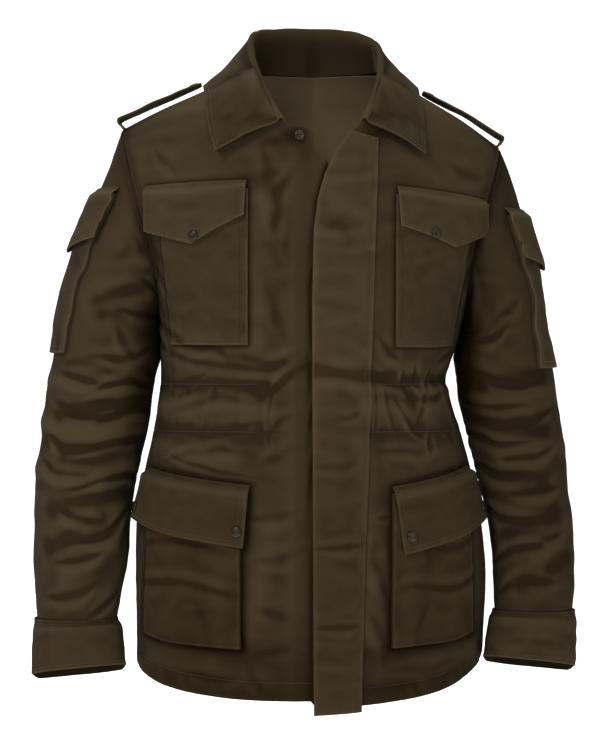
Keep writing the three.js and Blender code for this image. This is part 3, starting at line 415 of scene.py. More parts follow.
def torsoPoint(turn, z, out, creased=1.0):
    base = torsoBase(turn, z)
    face = np.where(np.abs(turn) < 90, -1.0, 1.0)
    seamFade = ease(0, 22, np.abs(np.abs(turn) - 90)) * ease(0, 60, shoulderHeight(base[..., 0]) - z)
    girth = girthOf(turn)
    folds = foldHeight(torsoFolds, girth, z) * seamFade
    edgeFade = ease(0, 9, np.abs(np.abs(turn) - 90)) * ease(0, 26, shoulderHeight(base[..., 0]) - z)
    small = (0.72 * creaseHeight(torsoCreases, girth, z) + clothDrape(girth, z, 5)) * edgeFade * creased
    return base + torsoNormal(base, face) * (folds + small + out)[..., None]


# Meshes: every sheet is a wall between two grids, its border rounded like a turned edge

def spaced(length, step, rim=True):
    # shares of a length, closer together at both ends where the edge turns
    count = max(int(round(length / step)), 3)
    shares = list(np.linspace(0, 1, count + 1))
    if rim:
        near = [d / length for d in (0.35, 0.9, 1.8)]
        shares = [0.0] + near + [s for s in shares if near[-1] * 1.6 < s < 1 - near[-1] * 1.6]
        shares += [1 - s for s in reversed(near)] + [1.0]
    return np.array(shares)


def rimShare(distance, half):
    t = np.clip(distance / half, 0, 1)
    return np.maximum(np.sqrt(np.maximum(1 - (1 - t) ** 2, 0)), 0.3)


def borderIndices(rows, columns):
    loop = [(0, i) for i in range(columns)]
    loop += [(j, columns - 1) for j in range(1, rows)]
    loop += [(rows - 1, i) for i in range(columns - 2, -1, -1)]
    loop += [(j, 0) for j in range(rows - 2, 0, -1)]
    return loop


def facesOut(points, faces):
    corners = points[np.array(faces)]
    volume = np.einsum("ij,ij->i", corners[:, 0], np.cross(corners[:, 1], corners[:, 2]))
    volume += np.einsum("ij,ij->i", corners[:, 0], np.cross(corners[:, 2], corners[:, 3]))
    return volume.sum() > 0


def boxMean(grid, reach, closed):
    # mean of what lies within this many cells, along both ways of the grid
    for axis in (0, 1):
        pads = [(0, 0)] * 3
        pads[axis] = (reach + 1, reach)
        padded = np.pad(grid, pads, mode="wrap" if closed and axis == 1 else "edge")
        sums = np.cumsum(padded, axis=axis)
        count = grid.shape[axis]
        far = np.take(sums, np.arange(2 * reach + 1, 2 * reach + 1 + count), axis=axis)
        near = np.take(sums, np.arange(count), axis=axis)
        grid = (far - near) / (2 * reach + 1)
    return grid


def hollowOf(outer, inner, closed):
    # how far in mm the cloth dips below what lies round it, close by and further off
    normals = gridNormals(outer, closed)
    normals *= np.sign(np.sum((outer - inner) * normals, axis=-1).mean())
    dips = np.zeros(outer.shape[:2])
    for reach, weight in ((2, 1.6), (4, 0.45)):
        mean = boxMean(boxMean(outer, reach, closed), reach, closed)
        dip = np.sum((mean - outer) * normals, axis=-1)
        dips += weight * (dip - np.median(dip))
    return dips


def wallMesh(name, outer, inner, uvs, closed=False, wear=None, between=(), shade=None, calm=1):
    # outer and inner are grids of points; between holds extra border loops from the outer to the inner one
    rows, columns = outer.shape[:2]
    spans = columns if closed else columns - 1
    count = rows * columns
    points = [outer.reshape(-1, 3), inner.reshape(-1, 3)]
    index = np.arange(count).reshape(rows, columns)
    a, b = index[:-1, :], index[1:, :]
    nextA = np.roll(a, -1, 1)[:, :spans]
    nextB = np.roll(b, -1, 1)[:, :spans]
    a, b = a[:, :spans], b[:, :spans]
    front = np.stack([a, nextA, nextB, b], -1).reshape(-1, 4)
    faces = [front, front[:, ::-1] + count]
    if closed:
        for row, turned in ((0, False), (rows - 1, True)):
            near = index[row]
            far = np.roll(near, -1)
            strip = np.stack([far, near, near + count, far + count], -1)
            faces.append(strip[:, ::-1] if turned else strip)
    else:
        loop = np.array([index[j, i] for j, i in borderIndices(rows, columns)])
        rings = [loop]
        for ring in between:
            rings.append(np.arange(len(loop)) + sum(len(p) for p in points))
            points.append(ring)
        rings.append(loop + count)
        for near, far in zip(rings[:-1], rings[1:]):
            faces.append(np.stack([np.roll(near, -1), near, far, np.roll(far, -1)], -1))
    points, faces = np.concatenate(points), np.concatenate(faces)
    if not facesOut(points, faces):
        faces = faces[:, ::-1]
    mesh = bpy.data.meshes.new(name)
    mesh.from_pydata((points * millimetre).tolist(), [], faces.tolist())
    mesh.polygons.foreach_set("use_smooth", np.ones(len(faces), bool))
    uvOfPoint = np.concatenate([uvs.reshape(-1, 2)] * 2 + [np.zeros((len(points) - 2 * count, 2))])
    if not closed:
        for k in range(len(between)):
            start = 2 * count + k * len(loop)
            uvOfPoint[start:start + len(loop)] = uvs.reshape(-1, 2)[loop]
    corners = np.empty(len(mesh.loops), int)
    mesh.loops.foreach_get("vertex_index", corners)
    layer = mesh.uv_layers.new(name="UVMap")
    cornerUvs = uvOfPoint[corners] * millimetre
    if closed:
        # the last span of a tube runs on past its first column
        girth = uvs[0, -1, 0] + uvs[0, 1, 0]
        quads = cornerUvs.reshape(-1, 4, 2)
        wraps = np.ptp(quads[:, :, 0], axis=1) > 0.5 * girth * millimetre
        low = quads[:, :, 0] < 0.5 * girth * millimetre
        quads[:, :, 0] += np.where(wraps[:, None] & low, girth * millimetre, 0)
        cornerUvs = quads.reshape(-1, 2)
    layer.data.foreach_set("uv", cornerUvs.ravel())
    values = {
        "wear": np.zeros(len(points)),
        "hollow": np.zeros(len(points)),
        "shade": np.zeros(len(points)),
        "inside": np.concatenate([np.zeros(count), np.ones(count), np.full(len(points) - 2 * count, 0.5)]),
    }
    values["hollow"][:count] = (hollowOf(outer, inner, closed) * calm).ravel()
    if wear is not None:
        values["wear"][:count] = wear.ravel()
    values["shade"][2 * count:] = cloth["edgeShade"]
    if shade is not None:
        values["shade"][:count] = shade.ravel()
    for label, data in values.items():
        mesh.attributes.new(label, "FLOAT", "POINT").data.foreach_set("value", data.astype(np.float32))
    piece = bpy.data.objects.new("sewn_" + name, mesh)
    bpy.context.scene.collection.objects.link(piece)
    return piece


def gridNormals(grid, closed=False):
    if closed:
        across = np.roll(grid, -1, 1) - np.roll(grid, 1, 1)
    else:
        across = np.gradient(grid, axis=1)
    up = np.gradient(grid, axis=0)
    normal = np.cross(across, up)
    return normal / np.maximum(np.linalg.norm(normal, axis=-1, keepdims=True), 1e-9)


def borderDistance(us, vs, width, height):
    across = np.minimum(us * width, (1 - us) * width)[None, :]
    up = np.minimum(vs * height, (1 - vs) * height)[:, None]
    return np.minimum(across, up)


stitchPaths = {"body": []}  # [points, normals] of every row of stitches, in mm


def addStitches(points, normals, lift=0.12):
    stitchPaths["body"].append((points + normals * lift, normals))


def gridLine(grid, normals, us, vs, atU, atV):
    # points and normals of a grid along a line of shares
    columns = np.interp(atU, us, np.arange(len(us)))
    rows = np.interp(atV, vs, np.arange(len(vs)))
    i, j = np.minimum(columns.astype(int), len(us) - 2), np.minimum(rows.astype(int), len(vs) - 2)
    fu, fv = (columns - i)[:, None], (rows - j)[:, None]
    pick = lambda g: mix(mix(g[j, i], g[j, i + 1], fu), mix(g[j + 1, i], g[j + 1, i + 1], fu), fv)
    return pick(grid), pick(normals)


# Panels of the body

panels = {
    "frontStep": 3.0,
    "backStep": 4.0,
    "width": 290,
    "height": 730,
    "backWidth": 570,
    "hemStitch": 22,  # mm above the hem
    "channelTop": -352,  # waist channel, height of its stitch lines
    "channelLow": -408,
    "seamStitch": 5,
}
frontEdges = {
    right: [
        [0, 30, -722],
        [20, 30, -262],
        [23, 30, -172],
        [24, 30, -134],
        [25, 25, -106],
        [26, 12, -79],
        [27, -2, -51],
        [28, -34, -43],
        [29, -72, -16],
        [30, -85, 26],
    ],
    left: [
        [0, 4, -733],
        [20, 2, -262],
        [23, 4, -172],
        [24, 9, -134],
        [25, 17, -106],
        [26, 30, -80],
        [27, 47, -55],
        [28, 64, -38],
        [29, 79, -8],
        [30, 85, 27],
    ],
}
flapSeam = smoothTable(["z", "x"], [
    [-740, 57],
    [-560, 61],
    [-380, 68],
    [-230, 72],
    [-120, 76],
    [-40, 80],
    [30, 100],
])
underlap = {"drop": 3.4, "start": -24, "full": -4}


def edgeReading(rows, share, column):
    data = np.array(rows, float)
    return np.interp(share, data[:, 0], data[:, column])


def hemHeight(turn):
    line = hemLine(np.abs(turn))
    return np.where(np.asarray(turn) < 0, line["right"], line["left"])


def armholeEdge(side, rise, behind):
    turn = side * armholeTurn(rise)["turn"]
    z = mix(body["armpitZ"], body["tipZ"][side], np.asarray(rise, float))
    return np.where(behind, side * 180 - turn, turn), z


def sideEdge(side, v, behind):
    armpit = body["armpitShare"]
    seamTurn = side * (90.0001 if behind else 89.9999)
    low = mix(hemHeight(side * 90), body["armpitZ"], np.clip(v / armpit, 0, 1))
    rise = (1 - np.cos(np.clip((v - armpit) / (1 - armpit), 0, 1) * np.pi)) / 2
    turn, z = armholeEdge(side, rise, behind)
    return np.where(v <= armpit, seamTurn, turn), np.where(v <= armpit, low, z)


def shoulderSeam(side, share, behind):
    tip = torsoBase(armholeEdge(side, 1.0, False)[0], body["tipZ"][side])[..., 0]
    x = mix(side * body["neckPointX"], tip, share)
    z = shoulderHeight(x)
    return turnAt(x, z, behind), z


def patch(bottom, top, inner, outer):
    def place(u, v):
        b, t, i, o = bottom(u), top(u), inner(v), outer(v)
        i0, i1, o0, o1 = inner(v * 0), inner(v * 0 + 1), outer(v * 0), outer(v * 0 + 1)
        return tuple(
            mix(b[c], t[c], v) + mix(i[c], o[c], u) - mix(mix(i0[c], o0[c], u), mix(i1[c], o1[c], u), v)
            for c in (0, 1))
    return place


def frontPlace(side):
    edge = frontEdges[side]

    def inner(v):
        x, z = edgeReading(edge, v * 30, 1), edgeReading(edge, v * 30, 2)
        return turnAt(x, z), z

    def outer(v):
        return sideEdge(side, v, False)

    def bottom(u):
        zero = np.zeros_like(u)
        turn = mix(inner(zero)[0], outer(zero)[0], u)
        return turn, hemHeight(turn)

    plain = patch(bottom, lambda u: shoulderSeam(side, u, False), inner, outer)
    if side == right:
        return plain

    def warped(u, v):
        seamShare = 0.2
        turn, z = plain(u, v)
        turnThere, zThere = plain(u * 0 + seamShare, v)
        shift = turnAt(flapSeam(zThere)["x"], zThere) - turnThere
        share = np.where(u < seamShare, u / seamShare, (1 - u) / (1 - seamShare))
        return turn + shift * share * ease(1, 0.9, v), z

    return warped


def backPlace(u, v):
    def inner(s):
        return sideEdge(left, s, True)

    def outer(s):
        turn, z = sideEdge(right, s, True)
        return turn + 360, z

    def bottom(s):
        turn = mix(90, 270, s)
        return turn, hemHeight(np.where(turn > 180, turn - 360, turn))

    def top(s):
        share = body["shoulderShare"]
        leftTurn, leftZ = shoulderSeam(left, 1 - np.clip(s / share, 0, 1), True)
        rightTurn, rightZ = shoulderSeam(right, 1 - np.clip((1 - s) / share, 0, 1), True)
        neckX = body["neckPointX"]
        x = mix(neckX, -neckX, np.clip((s - share) / (1 - 2 * share), 0, 1))
        ends = shoulderHeight(np.sign(x + 1e-6) * neckX)
        z = mix(body["backNeckZ"], ends, (np.abs(x) / neckX) ** 4)
        turn = turnAt(x, z, True)
        turn = np.where(turn < 0, turn + 360, turn)
        turn = np.where(s < share, leftTurn, np.where(s > 1 - share, rightTurn + 360, turn))
        return turn, np.where(s < share, leftZ, np.where(s > 1 - share, rightZ, z))

    return patch(bottom, top, inner, outer)(u, v)


def panelRelief(girth, z, hemDistance):
    # stitched channel at the waist, the turned hem and the gathers that both draw up
    behind = girth > 300
    groove = np.zeros(np.broadcast(girth, z).shape)
    for line in (panels["channelTop"], panels["channelLow"]):
        groove -= 0.55 * np.exp(-((z - line) / 1.5) ** 2)
        groove += 0.35 * np.exp(-((z - line) / 6.0) ** 2) * smoothNoise(girth / 6.5, z / 30, 21)
    between = ease(-412, -404, z) * ease(-348, -356, z)
    gathers = smoothNoise(girth / 9.0, z / 60, 31) + 0.5 * smoothNoise(girth / 4.5, z / 40, 32)
    strength = np.where(behind, 0.8, 0.45)
    groove += between * gathers * strength
    groove -= 0.5 * np.exp(-((hemDistance - panels["hemStitch"]) / 1.4) ** 2)
    groove += 0.45 * ease(34, 12, hemDistance) * smoothNoise(girth / 8.5 + z / 30, z / 22, 33)
    return groove


def shiftNormals(side, x):
    if side == right:
        return -underlap["drop"] * ease(underlap["start"], underlap["full"], x)
    return np.zeros_like(x)


# Corners of what is laid on the fronts: [x, z] of top inner, top outer, low inner, tip and low outer

pocketCorners = {
    "chest_pocket": {
        right: [[75, -123], [184, -124], [75, -306], [120, -306], [166, -305]],
        left: [[98, -130], [192, -138], [97, -308], [135, -308], [166, -306]],
    },
    "chest_flap": {
        right: [[77, -113], [197, -117], [79, -155], [132, -187], [194, -169]],
        left: [[99, -120], [205, -133], [102, -167], [156, -190], [204, -171]],
    },
    "lower_pocket": {
        right: [[84, -478], [192, -466], [83, -660], [150, -656], [198, -648]],
        left: [[93, -480], [184, -464], [92, -659], [150, -654], [188, -646]],
    },
    "lower_flap": {
        right: [[73, -470], [192, -452], [79, -543], [142, -530], [205, -513]],
        left: [[93, -472], [183, -450], [104, -551], [152, -534], [197, -514]],
    },
}


def outsideOf(corners, x, z):
    # distance in mm from an outline, nought within it
    inside = np.ones(x.shape, bool)
    nearest = np.full(x.shape, 1e6)
    for (ax, az), (bx, bz) in zip(corners, corners[1:] + corners[:1]):
        dx, dz = bx - ax, bz - az
        share = np.clip(((x - ax) * dx + (z - az) * dz) / (dx * dx + dz * dz), 0, 1)
        nearest = np.minimum(nearest, np.hypot(x - ax - share * dx, z - az - share * dz))
        inside &= (x - ax) * dz - (z - az) * dx < 0
    return np.where(inside, 0, nearest)


def aroundOutline(kind, side):
    topIn, topOut, lowIn, tip, lowOut = pocketCorners[kind][side]
    return [topIn, topOut, lowOut, tip, lowIn]


# [width, strength] of the shadow round each kind of piece, under the arms and beside the front flap
shadows = {
    "armhole": (17, 0.55),
    "chest_pocket": (4.2, 0.85),
    "chest_flap": (3.8, 0.7),
    "lower_pocket": (6.5, 0.95),
    "lower_flap": (5.5, 0.9),
    "arm": (15, 0.95),
    "flapEdge": (3.4, 0.95),
    "flapFar": (1.6, 0.35),
}
# x of the front flap's free edge, by height
flapShadow = smoothTable(["z", "edge"], [
    [-740, -3], [-420, -2], [-240, -2], [-150, 3], [-110, 12], [-80, 22],
])


def panelShade(side, turn, z):
    place = torsoBase(turn, z)
    x = side * place[..., 0]
    shade = np.zeros(x.shape)
    for kind in pocketCorners:
        width, strength = shadows[kind]
        away = outsideOf(aroundOutline(kind, side), x, z)
        shade = np.maximum(shade, strength * np.exp(-(away / width) ** 2))
    if side == right:
        # painted shadow where the back skirt shows past the front here
        skirtShadow = np.exp(-((90 - np.abs(turn)) / 7) ** 2) * ease(-646, -628, z) * ease(-580, -596, z)
        shade = np.maximum(shade, skirtShadow)
    return np.maximum(shade, armShade(turn, z)) + hemShade(z)


def hemShade(z):
    return 0.72 * ease(-590, -735, z)


# painted shade in the hollows under the collar's leaves: pixel x and y in the photograph, their two radii and strength
collarShadowSpots = [[294, 136, 15, 11, 0.95], [276, 140, 14, 7, 0.6], [372, 136, 16, 10, 0.8], [306, 150, 8, 12, 0.4]]


def collarShade(x, z):
    shade = np.zeros(x.shape)
    for px, py, wide, high, strength in collarShadowSpots:
        atX, atZ = fromPhoto(px, py)
        reach = ((x - atX) / (wide * photo["pixel"])) ** 2 + ((z - atZ) / (high * photo["pixel"])) ** 2
        shade = np.maximum(shade, strength * np.exp(-reach))
    return shade


def armShade(turn, z):
    width, strength = shadows["arm"]
    reach = ease(-470, -330, z) * ease(-40, -120, z)
    return strength * np.exp(-((90 - np.abs(turn)) / width) ** 2) * reach


def makeFront(side):
    name = "front_" + sideNames[side]
    us = spaced(panels["width"], panels["frontStep"])
    vs = spaced(panels["height"], panels["frontStep"])
    u, v = np.meshgrid(us, vs)
    turn, z = frontPlace(side)(u, v)
    hemDistance = z - hemHeight(turn)
    girth = girthOf(turn)
    x = torsoBase(turn, z)[..., 0]
    relief = panelRelief(girth, z, hemDistance) * ease(20, 60, np.abs(x))
    middle = torsoPoint(turn, z, relief + shiftNormals(side, x))
    if side == left:
        middle = torsoPoint(turn, z, relief * ease(60, 80, x))
    normals = gridNormals(middle) * side
    half = cloth["wall"] / 2
    distance = borderDistance(us, vs, panels["width"], panels["height"])
    thick = (rimShare(distance, half) * half)[..., None]
    centre = middle - normals * half
    uvs = np.stack([girth, z], -1)
    wear = ease(6, 0, np.minimum(distance, np.abs(hemDistance)))
    width, strength = shadows["armhole"]
    armhole = strength * (1 + 0.7 * ease(-120, -190, z)) * np.exp(-((1 - u) * panels["width"] / width) ** 2) * ease(-350, -310, z)
    shade = np.maximum(panelShade(side, turn, z), np.maximum(armhole, collarShade(x, z)))
    if side == right:
        width, strength = shadows["flapEdge"]
        beside = np.exp(-((x - flapShadow(z)["edge"]) / width) ** 2)
        shade = np.maximum(shade, strength * beside)
    calm = ease(18, 36, np.abs(x)) * 0.8 + 0.2
    piece = wallMesh(name, centre + normals * thick, centre - normals * thick, uvs, wear=wear, shade=shade, calm=calm)
    panelGrids[name] = (us, vs, middle, normals)
    return piece


def makeBack():
    us = spaced(panels["backWidth"], panels["backStep"])
    vs = spaced(panels["height"], panels["backStep"])
    u, v = np.meshgrid(us, vs)
    turn, z = backPlace(u, v)
    signed = np.where(turn > 180, turn - 360, turn)
    hemDistance = z - hemHeight(signed)
    girth = turn * body["girth"]
    middle = torsoPoint(signed, z, panelRelief(girth, z, hemDistance))
    normals = gridNormals(middle)
    half = cloth["wall"] / 2
    distance = borderDistance(us, vs, panels["backWidth"], panels["height"])
    # the neck edge isn't rounded: the collar closes on it
    neck = ease(76, 66, np.abs(torsoBase(signed, z)[..., 0])) * ease(0.9, 0.95, v)
    thick = (rimShare(distance + neck * half, half) * half)[..., None]
    centre = middle - normals * half
    uvs = np.stack([girth, z], -1)
    wear = ease(6, 0, distance)
    shade = armShade(180 - np.abs(signed), z) + hemShade(z)
    piece = wallMesh("back", centre + normals * thick, centre - normals * thick, uvs, wear=wear, shade=shade)
    panelGrids["back"] = (us, vs, middle, normals)
    return piece


panelGrids = {}
pieces = {}
for side in (right, left):
    pieces["front_" + sideNames[side]] = makeFront(side)
pieces["back"] = makeBack()
print("body panels made")


# Sleeves: level rings below the cap, the cap turned from the armhole seam

sleeve = {
    "ringTop": -290,
    "endZ": {right: -640, left: -630},
    "fullness": 2.2,
    "capShare": 0.38,
    "capSpread": {right: 0.34, left: 0.4},
    "capSpreadLow": 0.3,
    "capForward": 0.4,
    "capArrival": 0.08,
    "radius": 62,
    "step": 3.2,
    "girth": 400,
    "length": 590,
    "rowShift": 0.03,
    "lean": 7,
    "leanLow": -318,
    "shade": {right: 0.04, left: 0.36},  # the light comes from the wearer's right
}
ringColumns = ["z", "outer", "inner", "middle", "depth"]
sleeveRing = {
    right: smoothTable(ringColumns, [
        [-640, 331, 236, -34, 38],
        [-600, 335, 229, -29, 47],
        [-555, 337, 222, -21, 54],
        [-518, 337, 221, -14, 59],
        [-482, 337, 217, -8, 63],
        [-445, 334, 209, -4, 66],
        [-408, 328, 200, -1, 68],
        [-372, 325, 195, 1, 69],
        [-335, 318, 191, 2, 71],
        [-290, 310, 192, 3, 74],
    ]),
    left: smoothTable(ringColumns, [
        [-640, 312, 221, -34, 38],
        [-600, 316, 219, -29, 47],
        [-555, 317, 218, -21, 54],
        [-518, 316, 213, -14, 59],
        [-482, 312, 206, -8, 63],
        [-445, 309, 197, -4, 66],
        [-408, 304, 188, -1, 68],
        [-372, 298, 178, 1, 69],
        [-335, 293, 177, 2, 71],
        [-290, 283, 187, 3, 74],
    ]),
}
# Main folds of the sleeves, x1 and x2 as turns from the outermost line towards the front
sleeveFolds = {
    right: [
        [130, -235, 80, -250, -3.5, 11],
        [140, -262, 90, -268, -3.5, 11],
        [30, -345, 110, -362, 4.5, 15],
        [60, -385, 150, -372, -5.0, 13],
        [20, -398, 120, -412, 4.5, 14],
        [70, -436, 160, -424, -5.0, 13],
        [25, -452, 110, -470, 4.0, 14],
        [60, -500, 150, -478, -5.0, 14],
        [55, -545, 120, -515, -4.5, 14],
        [80, -580, 130, -545, 3.5, 14],
    ],
    left: [
        [120, -350, 50, -342, -4.5, 13],
        [40, -362, 130, -376, 4.5, 15],
        [60, -405, 150, -395, -5.0, 13],
        [30, -425, 120, -436, 4.0, 14],
        [70, -470, 150, -452, -4.5, 13],
        [60, -505, 130, -530, -5.0, 14],
        [40, -560, 110, -590, -4.0, 14],
        [40, -520, 90, -560, 3.5, 13],
    ],
}
# Smaller creases of the sleeves, from pixel to pixel of the photograph
sleeveCreases = {
    right: [
        [128, 282, 152, 290, 0.06, 1.3, 4.0],
        [122, 312, 150, 316, 0.05, 1.2, 4.0],
        [98, 356, 146, 348, 0.08, 1.5, 5.0],
        [66, 372, 118, 384, 0.08, 1.6, 5.0],
        [88, 394, 150, 388, -0.10, 2.4, 4.6],
        [60, 404, 108, 416, 0.08, 1.8, 5.0],
        [92, 424, 148, 412, -0.08, 2.2, 4.6],
        [52, 436, 100, 446, 0.10, 1.8, 5.0],
        [84, 450, 142, 440, -0.06, 2.0, 5.0],
        [46, 462, 96, 474, 0.08, 1.5, 5.0],
        [78, 488, 136, 478, -0.08, 2.2, 5.0],
        [60, 508, 100, 520, 0.08, 1.4, 5.0],
        [76, 540, 126, 510, 0.10, 2.2, 5.4],
        [60, 560, 104, 548, 0.06, 1.3, 5.0],
        [52, 596, 96, 584, 0.06, 1.2, 6.0],
        [92, 612, 118, 590, 0.06, 1.3, 5.0],
        [110, 240, 136, 262, 0.06, 1.1, 6.0],
        [120, 330, 134, 360, 0.05, 1.1, 5.0],
    ],
    left: [
        [486, 268, 474, 330, -0.05, 1.6, 5.0],
        [504, 330, 478, 344, 0.08, 1.4, 4.6],
        [536, 384, 476, 372, 0.08, 1.8, 5.0],
        [462, 396, 520, 404, -0.08, 2.0, 5.0],
        [548, 410, 500, 424, 0.08, 1.6, 5.0],
        [464, 428, 524, 440, -0.08, 2.2, 4.8],
        [550, 444, 496, 456, 0.10, 1.6, 5.0],
        [470, 462, 528, 474, -0.08, 2.0, 5.0],
        [556, 484, 508, 492, 0.06, 1.4, 5.0],
        [480, 500, 536, 518, -0.10, 2.2, 5.4],
        [560, 530, 516, 544, 0.06, 1.3, 5.0],
        [496, 560, 548, 548, 0.08, 1.5, 5.4],
        [500, 590, 552, 580, 0.08, 1.3, 6.0],
        [520, 300, 498, 316, 0.05, 1.0, 5.0],
        [494, 200, 500, 250, -0.05, 1.2, 6.0],
    ],
}


def roundPower(value, power):
    return np.sign(value) * np.abs(value) ** power


def ringPoint(side, around, z):
    around, z = np.broadcast_arrays(np.asarray(around, float), np.asarray(z, float))
    ring = sleeveRing[side](z)
    cosine, sine = np.cos(around * degree), np.sin(around * degree)
    power = 2 / sleeve["fullness"]
    halfWidth = (ring["outer"] - ring["inner"]) / 2
    x = side * ((ring["outer"] + ring["inner"]) / 2 + halfWidth * roundPower(cosine, power))
    return np.stack([x, ring["middle"] - ring["depth"] * roundPower(sine, power), z], -1)


def unit(v):
    return v / np.maximum(np.linalg.norm(v, axis=-1, keepdims=True), 1e-9)


def armholePoint(side, around):
    wrapped = np.mod(around, 360)
    rise = (1 + np.cos(wrapped * degree)) / 2
    turn, z = armholeEdge(side, rise, wrapped > 180)
    return torsoBase(np.where(rise < 1e-9, side * 89.9999, turn), z)


def foldBack(around):
    return np.pi * (1 - ease(0, 75, np.abs(180 - np.mod(around, 360))))


def seamStart(side, around):
    point = armholePoint(side, around)
    face = torsoNormal(point, np.where(np.mod(around, 360) > 180, 1.0, -1.0))
    along = unit(armholePoint(side, around + 4) - armholePoint(side, around - 4))
    off = unit(np.cross(along, face) * -side)
    bend = foldBack(around)[..., None]
    gap = mix(1.6, 3.2, bend / np.pi) * cloth["seamGap"]
    start = point + off * gap * np.cos(bend / 2) + face * gap * np.sin(bend / 2)
    inward = face * -np.cos(bend) + off * np.sin(bend)
    return start, inward, face


def sleeveBase(side, around, along):
    around, along = np.broadcast_arrays(np.asarray(around, float), np.asarray(along, float))
    share = sleeve["capShare"]
    lowZ = mix(sleeve["ringTop"], sleeve["endZ"][side], np.clip((along - share) / (1 - share), 0, 1))
    low = ringPoint(side, around, lowZ)
    start, _, face = seamStart(side, around)
    end = ringPoint(side, around, sleeve["ringTop"])
    reach = np.linalg.norm(start - end, axis=-1, keepdims=True)
    topShare = (1 + np.cos(around * degree)) / 2
    spread = mix(sleeve["capSpreadLow"], sleeve["capSpread"][side], topShare)
    forward = sleeve["capForward"] * face[..., 1] * np.sin(around * degree) ** 2
    leave = unit(np.stack([side * spread, forward, -np.ones_like(spread)], -1)) * reach
    arrive = unit(np.array([side * sleeve["capArrival"], 0, -1.0])) * reach
    t = np.clip(along / share, 0, 1)[..., None]
    cap = hermite(start, end, leave, arrive, t)
    return np.where((along >= share)[..., None], low, cap)


def sleeveNormal(side, around, along):
    step = 0.004
    down = sleeveBase(side, around, along + step) - sleeveBase(side, around, along - step)
    round_ = sleeveBase(side, around + 2, along) - sleeveBase(side, around - 2, along)
    return unit(np.cross(down, round_) * -side)


def aroundAt(side, x, z):
    # turn on the front half of the sleeve at an x of the front view
    ring = sleeveRing[side](z)
    middle, half = (ring["outer"] + ring["inner"]) / 2, (ring["outer"] - ring["inner"]) / 2
    share = np.clip((side * x - middle) / half, -0.999, 0.999)
    return float(np.arccos(roundPower(share, sleeve["fullness"] / 2)) / degree)


def placeSleeveCreases(side):
    radius = sleeve["radius"] * degree
    found = []
    for k, row in enumerate(sleeveCreases[side]):
        crease = dict(zip(creaseColumns, row))
        for end in ("1", "2"):
            x, z = fromPhoto(crease["px" + end], crease["py" + end], -45)
            crease["x" + end], crease["z" + end] = aroundAt(side, x, z) * radius, z
        found.append(crease)
        if k % 2:
            # the hidden half has its like, a little lower or higher
            twin = dict(crease)
            shift = 24 * math.cos(k * 2.1)
            twin.update({
                "x1": 360 * radius - crease["x1"], "x2": 360 * radius - crease["x2"],
                "z1": crease["z1"] + shift, "z2": crease["z2"] + shift, "bow": -crease["bow"],
            })
            found.append(twin)
    return found


def sleevePoint(side, around, along, out):
    start, inward, _ = seamStart(side, around)
    point = sleeveBase(side, around, along)
    radius = sleeve["radius"] * degree
    turned = np.mod(around + 90, 360) - 90
    fade = ease(0, 0.2, along) * ease(0, 0.06, 1 - along)
    folds = [dict(zip(foldColumns[1:], row)) for row in sleeveFolds[side]]
    for fold in folds:
        fold["x1"], fold["x2"] = fold["x1"] * radius, fold["x2"] * radius
    height = foldHeight(folds, turned * radius, point[..., 2]) * fade
    whole = np.mod(around, 360) * radius
    z = point[..., 2]
    small = creaseHeight(placeSleeveCreases(side), whole, z)
    drape = mix(clothDrape(whole, z, 60 + side), clothDrape(whole - 360 * radius, z, 60 + side), ease(300, 360, np.mod(around, 360)))
    fine = ease(0, 0.06, along) * ease(0, 0.03, 1 - along)
    # under the armpit the sleeve leans on the body
    bodyward = ease(0.2, 0.9, -np.cos(around * degree))
    lean = sleeve["lean"] * bodyward * ease(-215, -262, z) * ease(sleeve["leanLow"] - 28, sleeve["leanLow"], z)
    height = height + (small + drape * 1.1) * fine + lean + out
    normal = sleeveNormal(side, around, np.maximum(along, sleeve["rowShift"]))
    share = ease(0, sleeve["rowShift"], along)[..., None]
    normal = unit(mix(-inward, normal, share))
    base = np.where((along <= 0)[..., None], start, point)
    return base + normal * height[..., None]


def tubeNormals(grid, side):
    return gridNormals(grid, closed=True) * side


def makeSleeve(side):
    name = "sleeve_" + sideNames[side]
    columns = int(sleeve["girth"] / sleeve["step"])
    us = np.arange(columns) / columns
    vs = spaced(sleeve["length"], sleeve["step"])
    u, v = np.meshgrid(us, vs)
    relief = np.zeros_like(u)
    # the two rows of the cap's seam, and the pucker that they draw
    down = v * sleeve["length"]
    relief -= 0.35 * np.exp(-((down - 6) / 1.3) ** 2)
    relief += 0.3 * np.exp(-(down / 14) ** 2) * smoothNoise(u * columns / 2.6, v * 30, 71)
    outer = sleevePoint(side, u * 360, v, relief)
    inner = sleevePoint(side, u * 360, v, relief - cloth["wall"])
    distance = np.minimum(vs * sleeve["length"], (1 - vs) * sleeve["length"])[:, None]
    share = (rimShare(distance, cloth["wall"] / 2) * np.ones_like(u))[..., None]
    middle = (outer + inner) / 2
    uvs = np.stack([u * sleeve["girth"], outer[..., 2]], -1)
    wear = ease(6, 0, distance) * np.ones_like(u)
    bodyward = -np.cos(u * 2 * np.pi)
    z = outer[..., 2]
    shade = 0.9 * ease(0.35, 0.9, bodyward) * ease(-470, -330, z)
    width, strength = shadows["armhole"]
    strength = strength * (1 + 0.7 * ease(-120, -190, z))
    shade = np.maximum(shade, strength * np.exp(-(down / width) ** 2)) + sleeve["shade"][side]
    piece = wallMesh(name, mix(middle, outer, share), mix(middle, inner, share), uvs, closed=True, wear=wear, shade=shade)
    panelGrids[name] = (us, vs, outer, unit(outer - inner))
    return piece


for side in (right, left):
    pieces["sleeve_" + sideNames[side]] = makeSleeve(side)
print("sleeves made")


# Cuffs: bands over the sleeve's end, leaning forward with the forearm

